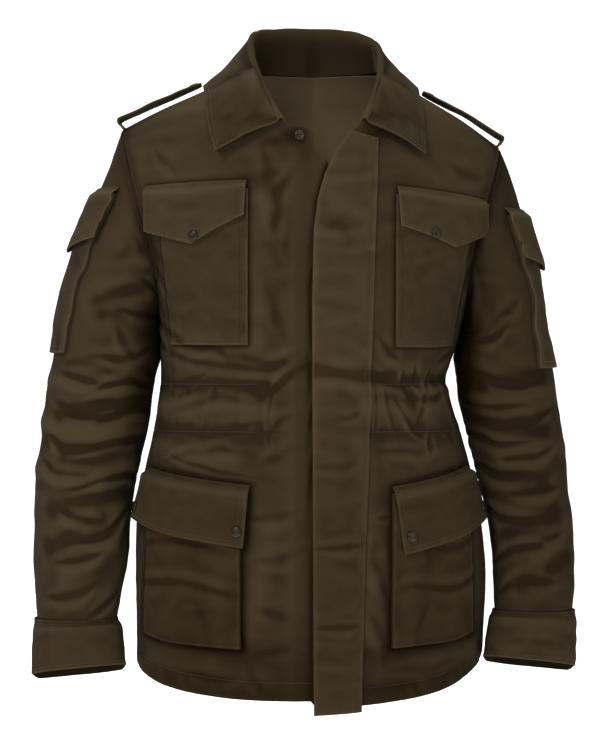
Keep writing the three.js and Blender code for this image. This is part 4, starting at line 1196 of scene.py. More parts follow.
cuff = {
    "height": 62,
    "lap": 7,
    "ease": 3.2,
    "flare": 3.5,
    "lean": {right: 3, left: 6},
    "tiltOut": 6,
    "tiltBack": 7,
    "backHang": 5.5,
    "pressed": 3.0,
    "pressedInside": 0.7,
    "pressedOver": 15,
    "forward": 6,
    "girth": 300,
    "step": 2.6,
}


def cuffPoint(side, around, down, out):
    endZ = sleeve["endZ"][side]
    cosine, sine = np.cos(around * degree), np.sin(around * degree)
    ring = sleeveRing[side](endZ)
    spread = cuff["ease"] + cloth["doubleWall"] + down * cuff["flare"]
    base = ringPoint(side, around, np.full_like(around, endZ))
    centre = np.array([side * float(ring["outer"] + ring["inner"]) / 2, float(ring["middle"]), endZ])
    outward = unit(base - centre)
    base = base + outward * (spread + out)[..., None]
    tilt = ease(0, 0.35, down) * (cuff["tiltOut"] * cosine - cuff["tiltBack"] * sine)
    base[..., 1] -= down * cuff["forward"]
    base[..., 0] -= side * down * cuff["lean"][side]
    base[..., 2] = endZ + cuff["lap"] - down * cuff["height"] - tilt
    return base


def makeCuff(side):
    name = "cuff_" + sideNames[side]
    columns = int(cuff["girth"] / cuff["step"])
    us = np.arange(columns) / columns
    vs = spaced(cuff["height"], cuff["step"])
    u, v = np.meshgrid(us, vs)
    whole = u * cuff["girth"]
    wrap = ease(0.9, 1, u)
    wave = lambda seed, span: mix(smoothNoise(whole / span, v * 6, seed), smoothNoise((whole - cuff["girth"]) / span, v * 6, seed), wrap)
    relief = 0.7 * wave(81 + side, 34) + 0.25 * wave(83 + side, 9)
    down = v * cuff["height"]
    for line in (5.5, cuff["height"] - 6):
        relief -= 0.4 * np.exp(-((down - line) / 1.2) ** 2)
    relief += 0.3 * (np.exp(-(down / 9) ** 2) + np.exp(-((cuff["height"] - down) / 9) ** 2)) * wave(85 + side, 6.5)
    top = ease(cuff["pressedOver"], 0, down)
    outer = cuffPoint(side, u * 360, v, relief - cuff["pressed"] * top)
    inner = cuffPoint(side, u * 360, v, relief - cloth["doubleWall"] - cuff["pressedInside"] * top)
    hang = cuff["backHang"] * ease(0, -0.5, np.sin(u * 2 * np.pi)) * ease(0.4, 1, v)
    outer[..., 2] -= hang
    inner[..., 2] -= hang
    distance = np.minimum(vs * cuff["height"], (1 - vs) * cuff["height"])[:, None]
    share = (rimShare(distance, cloth["doubleWall"] / 2) * np.ones_like(u))[..., None]
    middle = (outer + inner) / 2
    uvs = np.stack([whole, outer[..., 2]], -1)
    wear = ease(5, 0, distance) * np.ones_like(u)
    piece = wallMesh(name, mix(middle, outer, share), mix(middle, inner, share), uvs, closed=True, wear=wear)
    panelGrids[name] = (us, vs, outer, unit(outer - inner))
    return piece


for side in (right, left):
    pieces["cuff_" + sideNames[side]] = makeCuff(side)
print("cuffs made")


# Collar: sections round the neck, from the seam up, over the roll line and down the leaf

collarSection = smoothTable(
    ["station", "seamX", "seamZ", "rollX", "rollY", "rollZ", "edgeX", "edgeY", "edgeZ"],
    [
        [-6, -37, -41, -37, -114, -40, -114, -121, -80],
        [-5, -60, -24, -52, -84, -10, -124, -84, -40],
        [-4, -77, 1, -64, -44, 20, -129, -42, -6],
        [-3, -85, 26, -74, 0, 54, -132, 5, 11],
        [-2, -80, 30, -72, 42, 82, -120, 62, 2],
        [-1, -45, 32, -44, 74, 91, -72, 88, 6],
        [0, 0, 32, 2, 86, 93, 0, 106, 12],
        [1, 45, 32, 50, 74, 88, 74, 88, 3],
        [2, 80, 30, 79, 42, 71, 114, 62, -2],
        [3, 85, 27, 84, 0, 45, 127, 5, 9],
        [4, 80, 0, 81, -44, 17, 131, -42, -13],
        [5, 72, -21, 73, -80, -10, 133, -80, -46],
        [6, 61, -40, 61, -114, -40, 133, -117, -83],
    ])
collar = {
    "rollHalf": 3.6,
    "clearance": 3.6,
    "reachPast": 2.4,
    "standShade": 0.42,
    "end": 6,
    "step": 2.8,
    "around": 620,
    "across": 118,
    "stitch": 6.5,
}


def clearOfTorso(p, gap):
    x, y, z = p
    if z > float(shoulderHeight(x)) - 0.5:
        return p
    behind = y > float(torsoSection(z)["middle"])
    surface = torsoBase(float(turnAt(x, z, behind)), z)
    face = torsoNormal(surface, 1.0 if behind else -1.0)
    needed = surface[1] + gap / max(abs(face[1]), 0.5) * (1 if behind else -1)
    y = max(y, needed) if behind else min(y, needed)
    return np.array([x, float(y), z])


def collarSpine(station):
    row = {key: float(value) for key, value in collarSection(station).items()}
    seamZ = min(row["seamZ"], float(shoulderHeight(row["seamX"])) - 0.01)
    seamX = row["seamX"] or 0.01
    seam = torsoBase(float(turnAt(seamX, seamZ, abs(station) < 3)), seamZ)
    seam = seam + np.array([0, 0, cloth["seamGap"] + cloth["doubleWall"] * 0.7])
    roll = np.array([row["rollX"], row["rollY"], row["rollZ"]])
    edge = np.array([row["edgeX"], row["edgeY"], row["edgeZ"]])
    outward = unit((edge - roll) * np.array([1, 1, 0]))

    def at(start, aside, drop):
        return start + outward * aside - np.array([0, 0, drop])

    half = collar["rollHalf"]
    inside, outside = at(roll, -half, 5), at(roll, half, 5)
    offBody = lambda p: clearOfTorso(p, collar["clearance"])
    return np.array([
        seam,
        mix(seam, inside, 0.5),
        inside,
        at(roll, -half * 0.6, 1.2),
        roll,
        at(roll, half * 0.6, 1.2),
        offBody(outside),
        offBody(at(mix(outside, edge, 0.33), 1.5, -2)),
        offBody(at(mix(outside, edge, 0.66), 1.5, -2)),
        offBody(edge),
    ])


def alongPoints(points, shares):
    # smooth curve through points, read at shares of its length
    steps = np.linalg.norm(np.diff(points, axis=0), axis=1)
    keys = np.concatenate([[0], np.cumsum(steps)])
    slopes = np.empty_like(points)
    slopes[1:-1] = (points[2:] - points[:-2]) / (keys[2:] - keys[:-2])[:, None]
    slopes[0] = (points[1] - points[0]) / steps[0]
    slopes[-1] = (points[-1] - points[-2]) / steps[-1]
    key = shares * keys[-1]
    i = np.clip(np.searchsorted(keys, key, side="left") - 1, 0, len(steps) - 1)
    span = steps[i][:, None]
    t = ((key - keys[i]) / steps[i])[:, None]
    return hermite(points[i], points[i + 1], slopes[i] * span, slopes[i + 1] * span, t)


def makeCollar():
    us = spaced(collar["around"], collar["step"])
    vs = spaced(collar["across"], collar["step"])
    spines = [alongPoints(collarSpine(mix(-collar["end"], collar["end"], u)), vs) for u in us]
    middle = np.stack(spines, 1)
    normals = -gridNormals(middle)
    if normals[len(vs) * 3 // 4, len(us) // 2, 1] < 0:
        normals = -normals
    distance = borderDistance(us, vs, collar["around"], collar["across"])
    whole, up = us[None, :] * collar["around"], vs[:, None] * collar["across"]
    leaf = ease(0.42, 0.6, vs)[:, None]
    relief = leaf * (0.9 * smoothNoise(whole / 46, up / 30, 91) + 0.4 * smoothNoise(whole / 17, up / 15, 92))
    fromEdge = np.minimum(distance, (1 - vs)[:, None] * collar["across"])
    edgeOnly = np.minimum(np.minimum(us, 1 - us)[None, :] * collar["around"], (1 - vs)[:, None] * collar["across"])
    groove = -0.5 * np.exp(-((edgeOnly - collar["stitch"]) / 1.2) ** 2)
    groove += 0.35 * np.exp(-((edgeOnly - 3) / 4) ** 2) * smoothNoise(whole / 7, up / 7, 93)
    middle = middle + normals * (relief * 0.9 + groove * leaf)[..., None]
    # the stand reaches a little past the neck edge, so that no slit shows between them
    middle[..., 2] -= collar["reachPast"] * ease(0.05, 0, vs)[:, None]
    half = cloth["doubleWall"] / 2
    thick = (rimShare(edgeOnly, half) * half)[..., None]
    uvs = np.stack([whole + up * 0, up + whole * 0], -1)
    wear = ease(5, 0, fromEdge)
    # the stand's neck side is the cloth's outer side and lies in shadow
    shade = collar["standShade"] * ease(0.5, 0.42, vs)[:, None] * ease(0, 0.12, np.minimum(us, 1 - us))[None, :]
    piece = wallMesh("collar", middle + normals * thick, middle - normals * thick, uvs, wear=wear, shade=shade)
    panelGrids["collar"] = (us, vs, middle + normals * half, normals)
    return piece


pieces["collar"] = makeCollar()
print("collar made")


# Storm flap over the front closing: it follows the wearer's left front, free along its edge

stormFlap = {
    "columns": 0.2,  # share of the left front that it covers
    "top": 0.9,
    "drop": 7,
    "overhang": 2.5,
    "width": 68,
    "length": 676,
    "step": 2.6,
    "seamStitches": (1.6, 8.5),
}


def makeStormFlap():
    us = spaced(stormFlap["width"], stormFlap["step"])
    vs = spaced(stormFlap["length"], stormFlap["step"])
    u, v = np.meshgrid(us, vs)
    turn, z = frontPlace(left)(u * stormFlap["columns"], v * stormFlap["top"])
    across, up = u * stormFlap["width"], v * stormFlap["length"]
    relief = 0.6 * smoothNoise(across / 40, up / 66, 101) + 0.25 * smoothNoise(across / 15, up / 18, 102)
    relief += ease(14, 0, across) * (0.6 * smoothNoise(across * 0, up / 30, 103) + 0.25 * smoothNoise(across * 0, up / 9, 104))
    for line in stormFlap["seamStitches"]:
        relief -= 0.55 * np.exp(-((stormFlap["width"] - across - line) / 1.2) ** 2)
    relief += 0.4 * ease(20, 6, stormFlap["width"] - across) * smoothNoise(across / 9, up / 7, 105)
    rise = cloth["lift"] + relief
    outer = torsoPoint(turn, z, rise + cloth["doubleWall"])
    inner = torsoPoint(turn, z, rise)
    for grid in (outer, inner):
        grid[..., 0] -= stormFlap["overhang"] * ease(0.33, 0, u)
        grid[..., 2] -= stormFlap["drop"] * ease(0.03, 0, v)
    distance = borderDistance(us, vs, stormFlap["width"], stormFlap["length"])
    share = rimShare(distance, cloth["doubleWall"] / 2)[..., None]
    middle = (outer + inner) / 2
    uvs = np.stack([across, up], -1)
    shade = 0.28 * ease(-300, -560, outer[..., 2])
    piece = wallMesh("storm_flap", mix(middle, outer, share), mix(middle, inner, share), uvs, wear=ease(5, 0, distance), shade=shade)
    normals = unit(outer - inner)
    panelGrids["storm_flap"] = (us, vs, outer, normals)
    for line in stormFlap["seamStitches"]:
        atV = np.linspace(0.004, 0.985, 400)
        addStitches(*gridLine(outer, normals, us, vs, atV * 0 + 1 - line / stormFlap["width"], atV))
    return piece


pieces["storm_flap"] = makeStormFlap()
print("storm flap made")


# Pockets and flaps on the fronts. Corners: top inner, top outer, lower inner, tip, lower outer,
# each as the distance from the middle and the height in the front view

pocketForms = {
    "chest_pocket": {"width": 122, "height": 184, "step": 2.6, "stitches": (1.8, 7.5), "seed": 110},
    "lower_pocket": {"width": 128, "height": 190, "step": 2.6, "stitches": (2.0,), "seed": 120, "gusset": 5, "cloth": 3.6},
    "chest_flap": {"width": 132, "height": 62, "step": 2.3, "stitches": (6.0,), "seed": 130, "base": 5, "hang": 1},
    "lower_flap": {"width": 134, "height": 72, "step": 2.3, "stitches": (6.0,), "seed": 140, "base": 10.1, "hang": 1, "shade": 0.34},
}


def flapRise(t, base, hang):
    return mix(cloth["lift"], base, ease(1, 0.84, t)) + hang * ease(0.8, 0, t)


def laidGrid(side, corners, s, t, rise):
    topIn, topOut, lowIn, tip, lowOut = corners
    inX, inZ = mix(lowIn[0], topIn[0], t), mix(lowIn[1], topIn[1], t)
    outX, outZ = mix(lowOut[0], topOut[0], t), mix(lowOut[1], topOut[1], t)
    turn = mix(turnAt(side * inX, inZ), turnAt(side * outX, outZ), s)
    tipShare = (tip[0] - lowIn[0]) / (lowOut[0] - lowIn[0])
    tipDrop = mix(lowIn[1], lowOut[1], tipShare) - tip[1]
    drop = np.where(s < tipShare, s / tipShare, (1 - s) / (1 - tipShare))
    z = mix(inZ, outZ, s) - tipDrop * drop * (1 - t)
    return torsoPoint(turn, z, rise)


def edgeRelief(form, us, vs, withTop):
    # grooves along the stitches and the pucker of the cloth beside them
    width, height = form["width"], form["height"]
    s, t = np.meshgrid(us, vs)
    toEdge = np.minimum(np.minimum(s, 1 - s) * width, t * height)
    if withTop:
        toEdge = np.minimum(toEdge, (1 - t) * height)
    seed = form["seed"]
    relief = 0.7 * smoothNoise(s * width / 44, t * height / 38, seed) + 0.3 * smoothNoise(s * width / 17, t * height / 15, seed + 1)
    for line in form["stitches"]:
        relief -= 0.5 * np.exp(-((toEdge - line) / 1.1) ** 2)
    relief += 0.35 * np.exp(-(toEdge / 8) ** 2) * smoothNoise(s * width / 6.5, t * height / 6.5, seed + 2)
    return relief * ease(0, 3, toEdge), toEdge


def stitchAround(name, form, withTop):
    us, vs, grid, normals = panelGrids[name]
    width, height = form["width"], form["height"]
    for line in form["stitches"]:
        a, b = line / width, line / height
        top = 1 - b if withTop else 0.99
        along = np.linspace(0, 1, 90)
        paths = [
            (along * 0 + a, mix(top, b, along)),
            (mix(a, 1 - a, along), along * 0 + b),
            (along * 0 + 1 - a, mix(b, top, along)),
        ]
        if withTop:
            paths.append((mix(1 - a, a, along), along * 0 + top))
        for atU, atV in paths:
            addStitches(*gridLine(grid, normals, us, vs, atU, atV))


def foldedRings(outer, inner, steps):
    # border loops of a folded side wall: share of the height, and how far it is drawn in
    rows, columns = outer.shape[:2]
    loop = borderIndices(rows, columns)
    top = np.array([outer[j, i] for j, i in loop])
    low = np.array([inner[j, i] for j, i in loop])
    within = np.array([outer[min(max(j, 3), rows - 4), min(max(i, 3), columns - 4)] for j, i in loop])
    drawn = unit(within - top)
    return [mix(top, low, share) + drawn * inset for share, inset in steps]


def makeLaid(kind, side):
    form, name = pocketForms[kind], kind + "_" + sideNames[side]
    us, vs = spaced(form["width"], form["step"]), spaced(form["height"], form["step"])
    s, t = np.meshgrid(us, vs)
    isFlap = kind.endswith("flap")
    relief, toEdge = edgeRelief(form, us, vs, isFlap)
    low = np.full_like(s, cloth["lift"])
    if isFlap:
        low = flapRise(t, form["base"], form["hang"])
        wave = smoothNoise(s * 3.1 + side, s * 0, form["seed"] + 5)
        low = low + ease(0.7, 0, t) * (0.9 * wave + 0.5)
        high = low + cloth["doubleWall"] + relief * 0.5
        low = low + relief * 0.3
    elif "gusset" in form:
        inner, bottom = ease(0.4, 0.1, s), 0.6 * ease(0.3, 0.05, t) * ease(1, 0.7, s)
        high = cloth["lift"] + form["cloth"] + form["gusset"] * ease(1, 0.75, t) * np.maximum(inner, bottom)
        high = high + relief * ease(1, 0.8, t)
        for place, depth in ((0.36, 1.5), (0.62, 1.1)):
            line = place + 0.03 * np.sin(s * 5 + side)
            high = high - depth * np.exp(-((t - line) * form["height"] / 6) ** 2) * ease(0, 0.15, s)
            high = high + depth * 0.6 * np.exp(-((t - line - 0.055) * form["height"] / 8) ** 2) * ease(0, 0.15, s)
    else:
        swell = 1.4 * np.sin(np.pi * s) * ease(1, 0.8, t)
        high = cloth["lift"] + cloth["wall"] + swell + relief * 0.8
    outer = laidGrid(side, pocketCorners[kind][side], s, t, high)
    inner = laidGrid(side, pocketCorners[kind][side], s, t, low)
    distance = borderDistance(us, vs, form["width"], form["height"])
    middle = (outer + inner) / 2
    between = ()
    if "gusset" in form:
        share = (1 - (1 - rimShare(distance, 1.2)) * 0.2)[..., None]
        outer = mix(middle, outer, share)
        between = foldedRings(outer, inner, ((0.22, 0.2), (0.4, 2.6), (0.5, 3.0), (0.62, 0.3), (0.8, -0.6)))
    else:
        share = rimShare(distance, 1.1)[..., None]
        outer = mix(middle, outer, share)
        inner = mix(middle, inner, share) if isFlap else inner
    uvs = np.stack([s * form["width"], t * form["height"]], -1)
    shade = np.full_like(s, form.get("shade", 0)) + hemShade(outer[..., 2])
    piece = wallMesh(name, outer, inner, uvs, wear=ease(5, 0, toEdge), between=between, shade=shade)
    panelGrids[name] = (us, vs, outer, gridNormals(outer) * side)
    stitchAround(name, form, isFlap)
    return piece


for side in (right, left):
    for kind in pocketForms:
        pieces[kind + "_" + sideNames[side]] = makeLaid(kind, side)
print("front pockets made")


# Pockets on the upper sleeves

sleevePocket = {
    "turn": 54,
    "cloth": 4,
    "flapBase": 7,
    "flapHang": 2.5,
    "overhang": 1.05,
    right: {"topZ": -124, "bottomZ": -315, "flapTop": -115, "flapLow": -180, "flapTip": -195},
    left: {"topZ": -150, "bottomZ": -333, "flapTop": -141, "flapLow": -203, "flapTip": -216},
}
sleevePocketForms = {
    "sleeve_pocket": {"width": 134, "height": 186, "step": 2.8, "stitches": (1.8, 7.5), "seed": 150},
    "sleeve_flap": {"width": 140, "height": 76, "step": 2.5, "stitches": (6.0,), "seed": 160},
}


def sleeveShareAt(side, around, z):
    low, high = np.full(np.shape(z), 0.02), np.ones(np.shape(z))
    for _ in range(18):
        middle = (low + high) / 2
        above = sleeveBase(side, around, middle)[..., 2] > z
        low, high = np.where(above, middle, low), np.where(above, high, middle)
    return low


def makeSleevePiece(kind, side):
    form, size = sleevePocketForms[kind], sleevePocket[side]
    name = kind + "_" + sideNames[side]
    us, vs = spaced(form["width"], form["step"]), spaced(form["height"], form["step"])
    s, t = np.meshgrid(us, vs)
    isFlap = kind.endswith("flap")
    relief, toEdge = edgeRelief(form, us, vs, isFlap)
    around = mix(sleevePocket["turn"], -sleevePocket["turn"], s) * (sleevePocket["overhang"] if isFlap else 1)
    # the front edge wanders as washed cotton does
    wander = 3.4 * smoothNoise(s * 0 + 1.7, t * 7.3 + side, form["seed"] + 9) + 1.6 * smoothNoise(s * 0, t * 15.0, form["seed"] + 10)
    around = around + ease(0.3, 0, s) * wander * (0.4 if isFlap else 1)
    if isFlap:
        lower = mix(size["flapTip"], size["flapLow"], np.abs(2 * s - 1))
        z = mix(lower, size["flapTop"], t)
        low = flapRise(t, sleevePocket["flapBase"], sleevePocket["flapHang"]) + cloth["lift"] * t
        high = low + cloth["doubleWall"] + relief * 0.5
    else:
        z = mix(size["bottomZ"], size["topZ"], t)
        low = np.full_like(s, cloth["lift"])
        # the front edge of the pocket stands off in a soft wave
        wave = ease(0.16, 0, s) * (2.0 + 1.2 * smoothNoise(s * 0 + 3.3, t * 6.0, form["seed"] + 7))
        high = low + sleevePocket["cloth"] + 1.4 * np.sin(np.pi * s) * ease(1, 0.8, t) + wave + relief * 0.8
    along = sleeveShareAt(side, around, z)
    outer, inner = sleevePoint(side, around, along, high), sleevePoint(side, around, along, low)
    distance = borderDistance(us, vs, form["width"], form["height"])
    share = rimShare(distance, 1.2)[..., None]
    middle = (outer + inner) / 2
    outer = mix(middle, outer, share)
    between = ()
    if isFlap:
        inner = mix(middle, inner, share)
    else:
        between = foldedRings(outer, inner, ((0.3, 0.4), (0.5, 1.8), (0.75, 0.0)))
    uvs = np.stack([s * form["width"], t * form["height"]], -1)
    piece = wallMesh(name, outer, inner, uvs, wear=ease(5, 0, toEdge), between=between)
    panelGrids[name] = (us, vs, outer, unit(outer - inner))
    stitchAround(name, form, isFlap)
    return piece


for side in (right, left):
    for kind in sleevePocketForms:
        pieces[kind + "_" + sideNames[side]] = makeSleevePiece(kind, side)
print("sleeve pockets made")


# Shoulder straps: up from the shoulder tip, folded over and on to the collar

strap = {
    "width": 44,
    "neckWidth": 38,
    "y": 4,
    "length": 116,
    "step": 2.2,
    "stitch": 5,
    "path": {
        right: [
            [-229, -39.6], [-234, -36.5], [-235, -31], [-228, -27], [-212, -20],
            [-194, -11.5], [-175, -4], [-156, 4.5], [-134.5, 13],
        ],
        left: [
            [226, -61], [231, -58], [232, -53], [225, -48.5], [209, -38],
            [191, -26], [172, -16], [154, -7], [134.5, 3],
        ],
    },
}


def makeStrap(side):
    name = "epaulet_" + sideNames[side]
    us, vs = spaced(strap["width"], strap["step"]), spaced(strap["length"], strap["step"])
    u, v = np.meshgrid(us, vs)
    line = alongPoints(np.array([[x, strap["y"], z] for x, z in strap["path"][side]], float), vs)
    tangent = unit(np.gradient(line, axis=0))
    face = np.stack([-tangent[:, 2], tangent[:, 0] * 0, tangent[:, 0]], -1) * -side
    distance = borderDistance(us, vs, strap["width"], strap["length"])
    end = ease(0.9, 1, v)
    width = mix(strap["width"], strap["neckWidth"], v) * (1 - 0.3 * end ** 2)
    relief = 0.5 * smoothNoise(u * 1.7 + side, v * 4, 171) + 0.2 * smoothNoise(u * 5, v * 12, 172)
    relief -= 0.45 * np.exp(-((distance - strap["stitch"]) / 1.1) ** 2)
    middle = line[:, None, :] + np.stack([u * 0, (u - 0.5) * width, u * 0], -1)
    middle = middle + face[:, None, :] * relief[..., None]
    half = cloth["doubleWall"] / 2
    thick = (rimShare(distance, half) * half)[..., None] * face[:, None, :]
    uvs = np.stack([u * strap["width"], v * strap["length"]], -1)
    piece = wallMesh(name, middle + thick, middle - thick, uvs, wear=ease(5, 0, distance))
    normals = np.broadcast_to(face[:, None, :], middle.shape)
    panelGrids[name] = (us, vs, middle + normals * half, normals)
    form = {"width": strap["width"], "height": strap["length"], "stitches": (strap["stitch"],)}
    stitchAround(name, form, True)
    return piece


for side in (right, left):
    pieces["epaulet_" + sideNames[side]] = makeStrap(side)
print("shoulder straps made")


# Snaps and buttons: turned caps, each seated on the piece below its solid

fastener = {
    "radius": 6.2,
    "height": 2.7,
    "sides": 40,
    "seat": 0.3,
    # share of the radius and of the height, from the middle out, for a snap and for a sewn button
    "snapProfile": [[0, 0.78], [0.2, 0.8], [0.4, 0.9], [0.55, 0.98], [0.66, 1], [0.74, 0.92], [0.78, 0.8],
                    [0.84, 0.84], [0.93, 0.72], [0.99, 0.45], [1, 0.2], [0.97, 0]],
    "buttonProfile": [[0, 0.5], [0.25, 0.5], [0.42, 0.56], [0.52, 0.82], [0.62, 0.98], [0.78, 1], [0.9, 0.9],
                      [0.98, 0.66], [1, 0.4], [0.95, 0.1], [0.9, 0]],
}
fastenerSeats = {
    "chest_snap_": "chest_flap_",
    "lower_snap_inner_": "lower_flap_",
    "lower_snap_outer_": "lower_flap_",
    "epaulet_button_": "epaulet_",
}


def makeFastener(name, seat, profile):
    us, vs, grid, normals = panelGrids[seat]
    low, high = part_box(name)
    target = (np.array(low) + np.array(high)) / 2 / millimetre
    flat = np.linalg.norm(grid - target, axis=-1).argmin()
    j, i = np.unravel_index(flat, grid.shape[:2])
    out = unit(normals[max(j - 1, 0):j + 2, max(i - 1, 0):i + 2].reshape(-1, 3).mean(0))
    beside = unit(np.cross(out, [0, 0, 1.0]) if abs(out[2]) < 0.9 else np.cross(out, [0, 1.0, 0]))
    third = np.cross(out, beside)
    # the cap keeps its solid's place across the cloth
    base = target + out * np.dot(grid[j, i] - target, out) + out * fastener["seat"]
    sides = fastener["sides"]
    angles = np.arange(sides) * 2 * np.pi / sides
    points, faces = [], []
    for r, h in profile[1:]:
        for angle in angles:
            spread = (beside * math.cos(angle) + third * math.sin(angle)) * r * fastener["radius"]
            points.append(base + spread + out * h * fastener["height"])
    rings = len(profile) - 1
    for ring in range(rings - 1):
        for k in range(sides):
            a, b = ring * sides + k, ring * sides + (k + 1) % sides
            faces.append([a, b, b + sides, a + sides])
    points.append(base + out * profile[0][1] * fastener["height"])
    points.append(base)
    for k in range(sides):
        faces.append([len(points) - 2, (k + 1) % sides, k])
        faces.append([len(points) - 1, (rings - 1) * sides + k, (rings - 1) * sides + (k + 1) % sides])
    mesh = bpy.data.meshes.new(name)
    mesh.from_pydata([tuple(p * millimetre) for p in points], [], faces)
    mesh.update()
    volume = sum(poly.center.dot(poly.normal) * poly.area for poly in mesh.polygons)
    centre = Vector(base * millimetre)
    volume = sum((poly.center - centre).dot(poly.normal) * poly.area for poly in mesh.polygons)
    if volume < 0:
        mesh.flip_normals()
    mesh.polygons.foreach_set("use_smooth", np.ones(len(mesh.polygons), bool))
    piece = bpy.data.objects.new("turned_" + name, mesh)
    bpy.context.scene.collection.objects.link(piece)
    return piece


for side in (right, left):
    for kind, seat in fastenerSeats.items():
        name = kind + sideNames[side]
        profile = fastener["buttonProfile" if "button" in kind else "snapProfile"]
        pieces[name] = makeFastener(name, seat + sideNames[side], profile)
pieces["neck_button"] = makeFastener("neck_button", "front_right", fastener["buttonProfile"])
print("snaps and buttons made")


# Rows of stitches on the panels

def crossing(name, field, level):
    # where a field over a grid first passes a level, up each column
    us, vs, grid, normals = panelGrids[name]
    points, outs = [], []
    for i in range(grid.shape[1]):
        column = field[:, i]
        above = np.nonzero((column[:-1] < level) & (column[1:] >= level))[0]
        if not len(above):
            continue
        j = above[0]
        share = (level - column[j]) / (column[j + 1] - column[j])
        points.append(mix(grid[j, i], grid[j + 1, i], share))
        outs.append(mix(normals[j, i], normals[j + 1, i], share))
    return np.array(points), np.array(outs)


def within(points, normals, keep):
    mask = keep(points)
    return points[mask], normals[mask]


def stitchPanels():
    for side in (right, left):
        name = "front_" + sideNames[side]
        us, vs, grid, normals = panelGrids[name]
        z, x = grid[..., 2], grid[..., 0]
        hemDistance = z - hemHeight(turnAt(x, z))
        past = 64 if side == left else -400
        clear = lambda p: side * p[:, 0] > past
        addStitches(*within(*crossing(name, hemDistance, panels["hemStitch"]), clear))
        for level in (panels["channelTop"], panels["channelLow"]):
            path = within(*crossing(name, z, level), lambda p: side * p[:, 0] > 64)
            addStitches(*path)
        along = np.linspace(0, 1, 200)
        armpit = body["armpitShare"]
        inset = panels["seamStitch"] / panels["width"]
        addStitches(*gridLine(grid, normals, us, vs, along * 0 + 1 - inset, mix(armpit, 0.985, along)))
        drop = panels["seamStitch"] / panels["height"]
        addStitches(*gridLine(grid, normals, us, vs, mix(0.3, 0.99, along), along * 0 + 1 - drop))
        for kind in ("sleeve", "cuff"):
            seamName = kind + "_" + sideNames[side]
            tubeUs, tubeVs, tube, outs = panelGrids[seamName]
            size = {"sleeve": sleeve["length"], "cuff": cuff["height"]}[kind]
            rows = {"sleeve": (6.0,), "cuff": (5.5, cuff["height"] - 6)}[kind]
            for row in rows:
                j = np.abs(tubeVs * size - row).argmin()
                points, normalsHere = tube[j], outs[j]
                addStitches(np.vstack([points, points[:1]]), np.vstack([normalsHere, normalsHere[:1]]))
    us, vs, grid, normals = panelGrids["back"]
    z = grid[..., 2]
    turn = turnAt(grid[..., 0], z, True)
    addStitches(*crossing("back", z - hemHeight(turn), panels["hemStitch"]))
    for level in (panels["channelTop"], panels["channelLow"]):
        addStitches(*crossing("back", z, level))
    us, vs, grid, normals = panelGrids["collar"]
    a, b = collar["stitch"] / collar["around"], collar["stitch"] / collar["across"]
    along = np.linspace(0, 1, 300)
    addStitches(*gridLine(grid, normals, us, vs, mix(a, 1 - a, along), along * 0 + 1 - b))
    for end in (a, 1 - a):
        addStitches(*gridLine(grid, normals, us, vs, along * 0 + end, mix(0.52, 1 - b, along)))


stitchPanels()

thread = {"length": 2.5, "gap": 0.9, "thickness": 0.5, "rise": 0.62, "sides": 6}


def stitchTree(material):
    # a thread stitch on every point of resampled paths, turned along the path and off the cloth
    tree = bpy.data.node_groups.new("stitchRow", "GeometryNodeTree")
    tree.interface.new_socket("Geometry", in_out="INPUT", socket_type="NodeSocketGeometry")
    for label, value in (("Pitch", 3.4), ("Length", 2.5), ("Thickness", 0.5), ("Rise", 0.6)):
        socket = tree.interface.new_socket(label, in_out="INPUT", socket_type="NodeSocketFloat")
        socket.default_value = value * millimetre if label != "Rise" else value
    tree.interface.new_socket("Geometry", in_out="OUTPUT", socket_type="NodeSocketGeometry")
    new, link = tree.nodes.new, tree.links.new
    start, end = new("NodeGroupInput"), new("NodeGroupOutput")
    toCurve = new("GeometryNodeMeshToCurve")
    link(start.outputs["Geometry"], toCurve.inputs["Mesh"])
    resample = new("GeometryNodeResampleCurve")
    resample.mode = "LENGTH"
    link(toCurve.outputs["Curve"], resample.inputs["Curve"])
    link(start.outputs["Pitch"], resample.inputs["Length"])
    out = new("GeometryNodeInputNamedAttribute")
    out.data_type = "FLOAT_VECTOR"
    out.inputs["Name"].default_value = "out"
    tangent = new("GeometryNodeInputTangent")
    axes = new("FunctionNodeAxesToRotation")
    axes.primary_axis, axes.secondary_axis = "Z", "X"
    link(out.outputs["Attribute"], axes.inputs["Primary Axis"])
    link(tangent.outputs["Tangent"], axes.inputs["Secondary Axis"])
    body_ = new("GeometryNodeMeshUVSphere")
    body_.inputs["Segments"].default_value = thread["sides"]
    body_.inputs["Rings"].default_value = 4
    body_.inputs["Radius"].default_value = 0.5
    size = new("ShaderNodeCombineXYZ")
    link(start.outputs["Length"], size.inputs["X"])
    link(start.outputs["Thickness"], size.inputs["Y"])
    flat = new("ShaderNodeMath")
    flat.operation = "MULTIPLY"
    link(start.outputs["Thickness"], flat.inputs[0])
    link(start.outputs["Rise"], flat.inputs[1])
    link(flat.outputs["Value"], size.inputs["Z"])
    place = new("GeometryNodeInstanceOnPoints")
    link(resample.outputs["Curve"], place.inputs["Points"])
    link(body_.outputs["Mesh"], place.inputs["Instance"])
    link(axes.outputs["Rotation"], place.inputs["Rotation"])
    link(size.outputs["Vector"], place.inputs["Scale"])
    real = new("GeometryNodeRealizeInstances")
    link(place.outputs["Instances"], real.inputs["Geometry"])
    paint = new("GeometryNodeSetMaterial")
    paint.inputs["Material"].default_value = material
    link(real.outputs["Geometry"], paint.inputs["Geometry"])
    link(paint.outputs["Geometry"], end.inputs["Geometry"])
    return tree


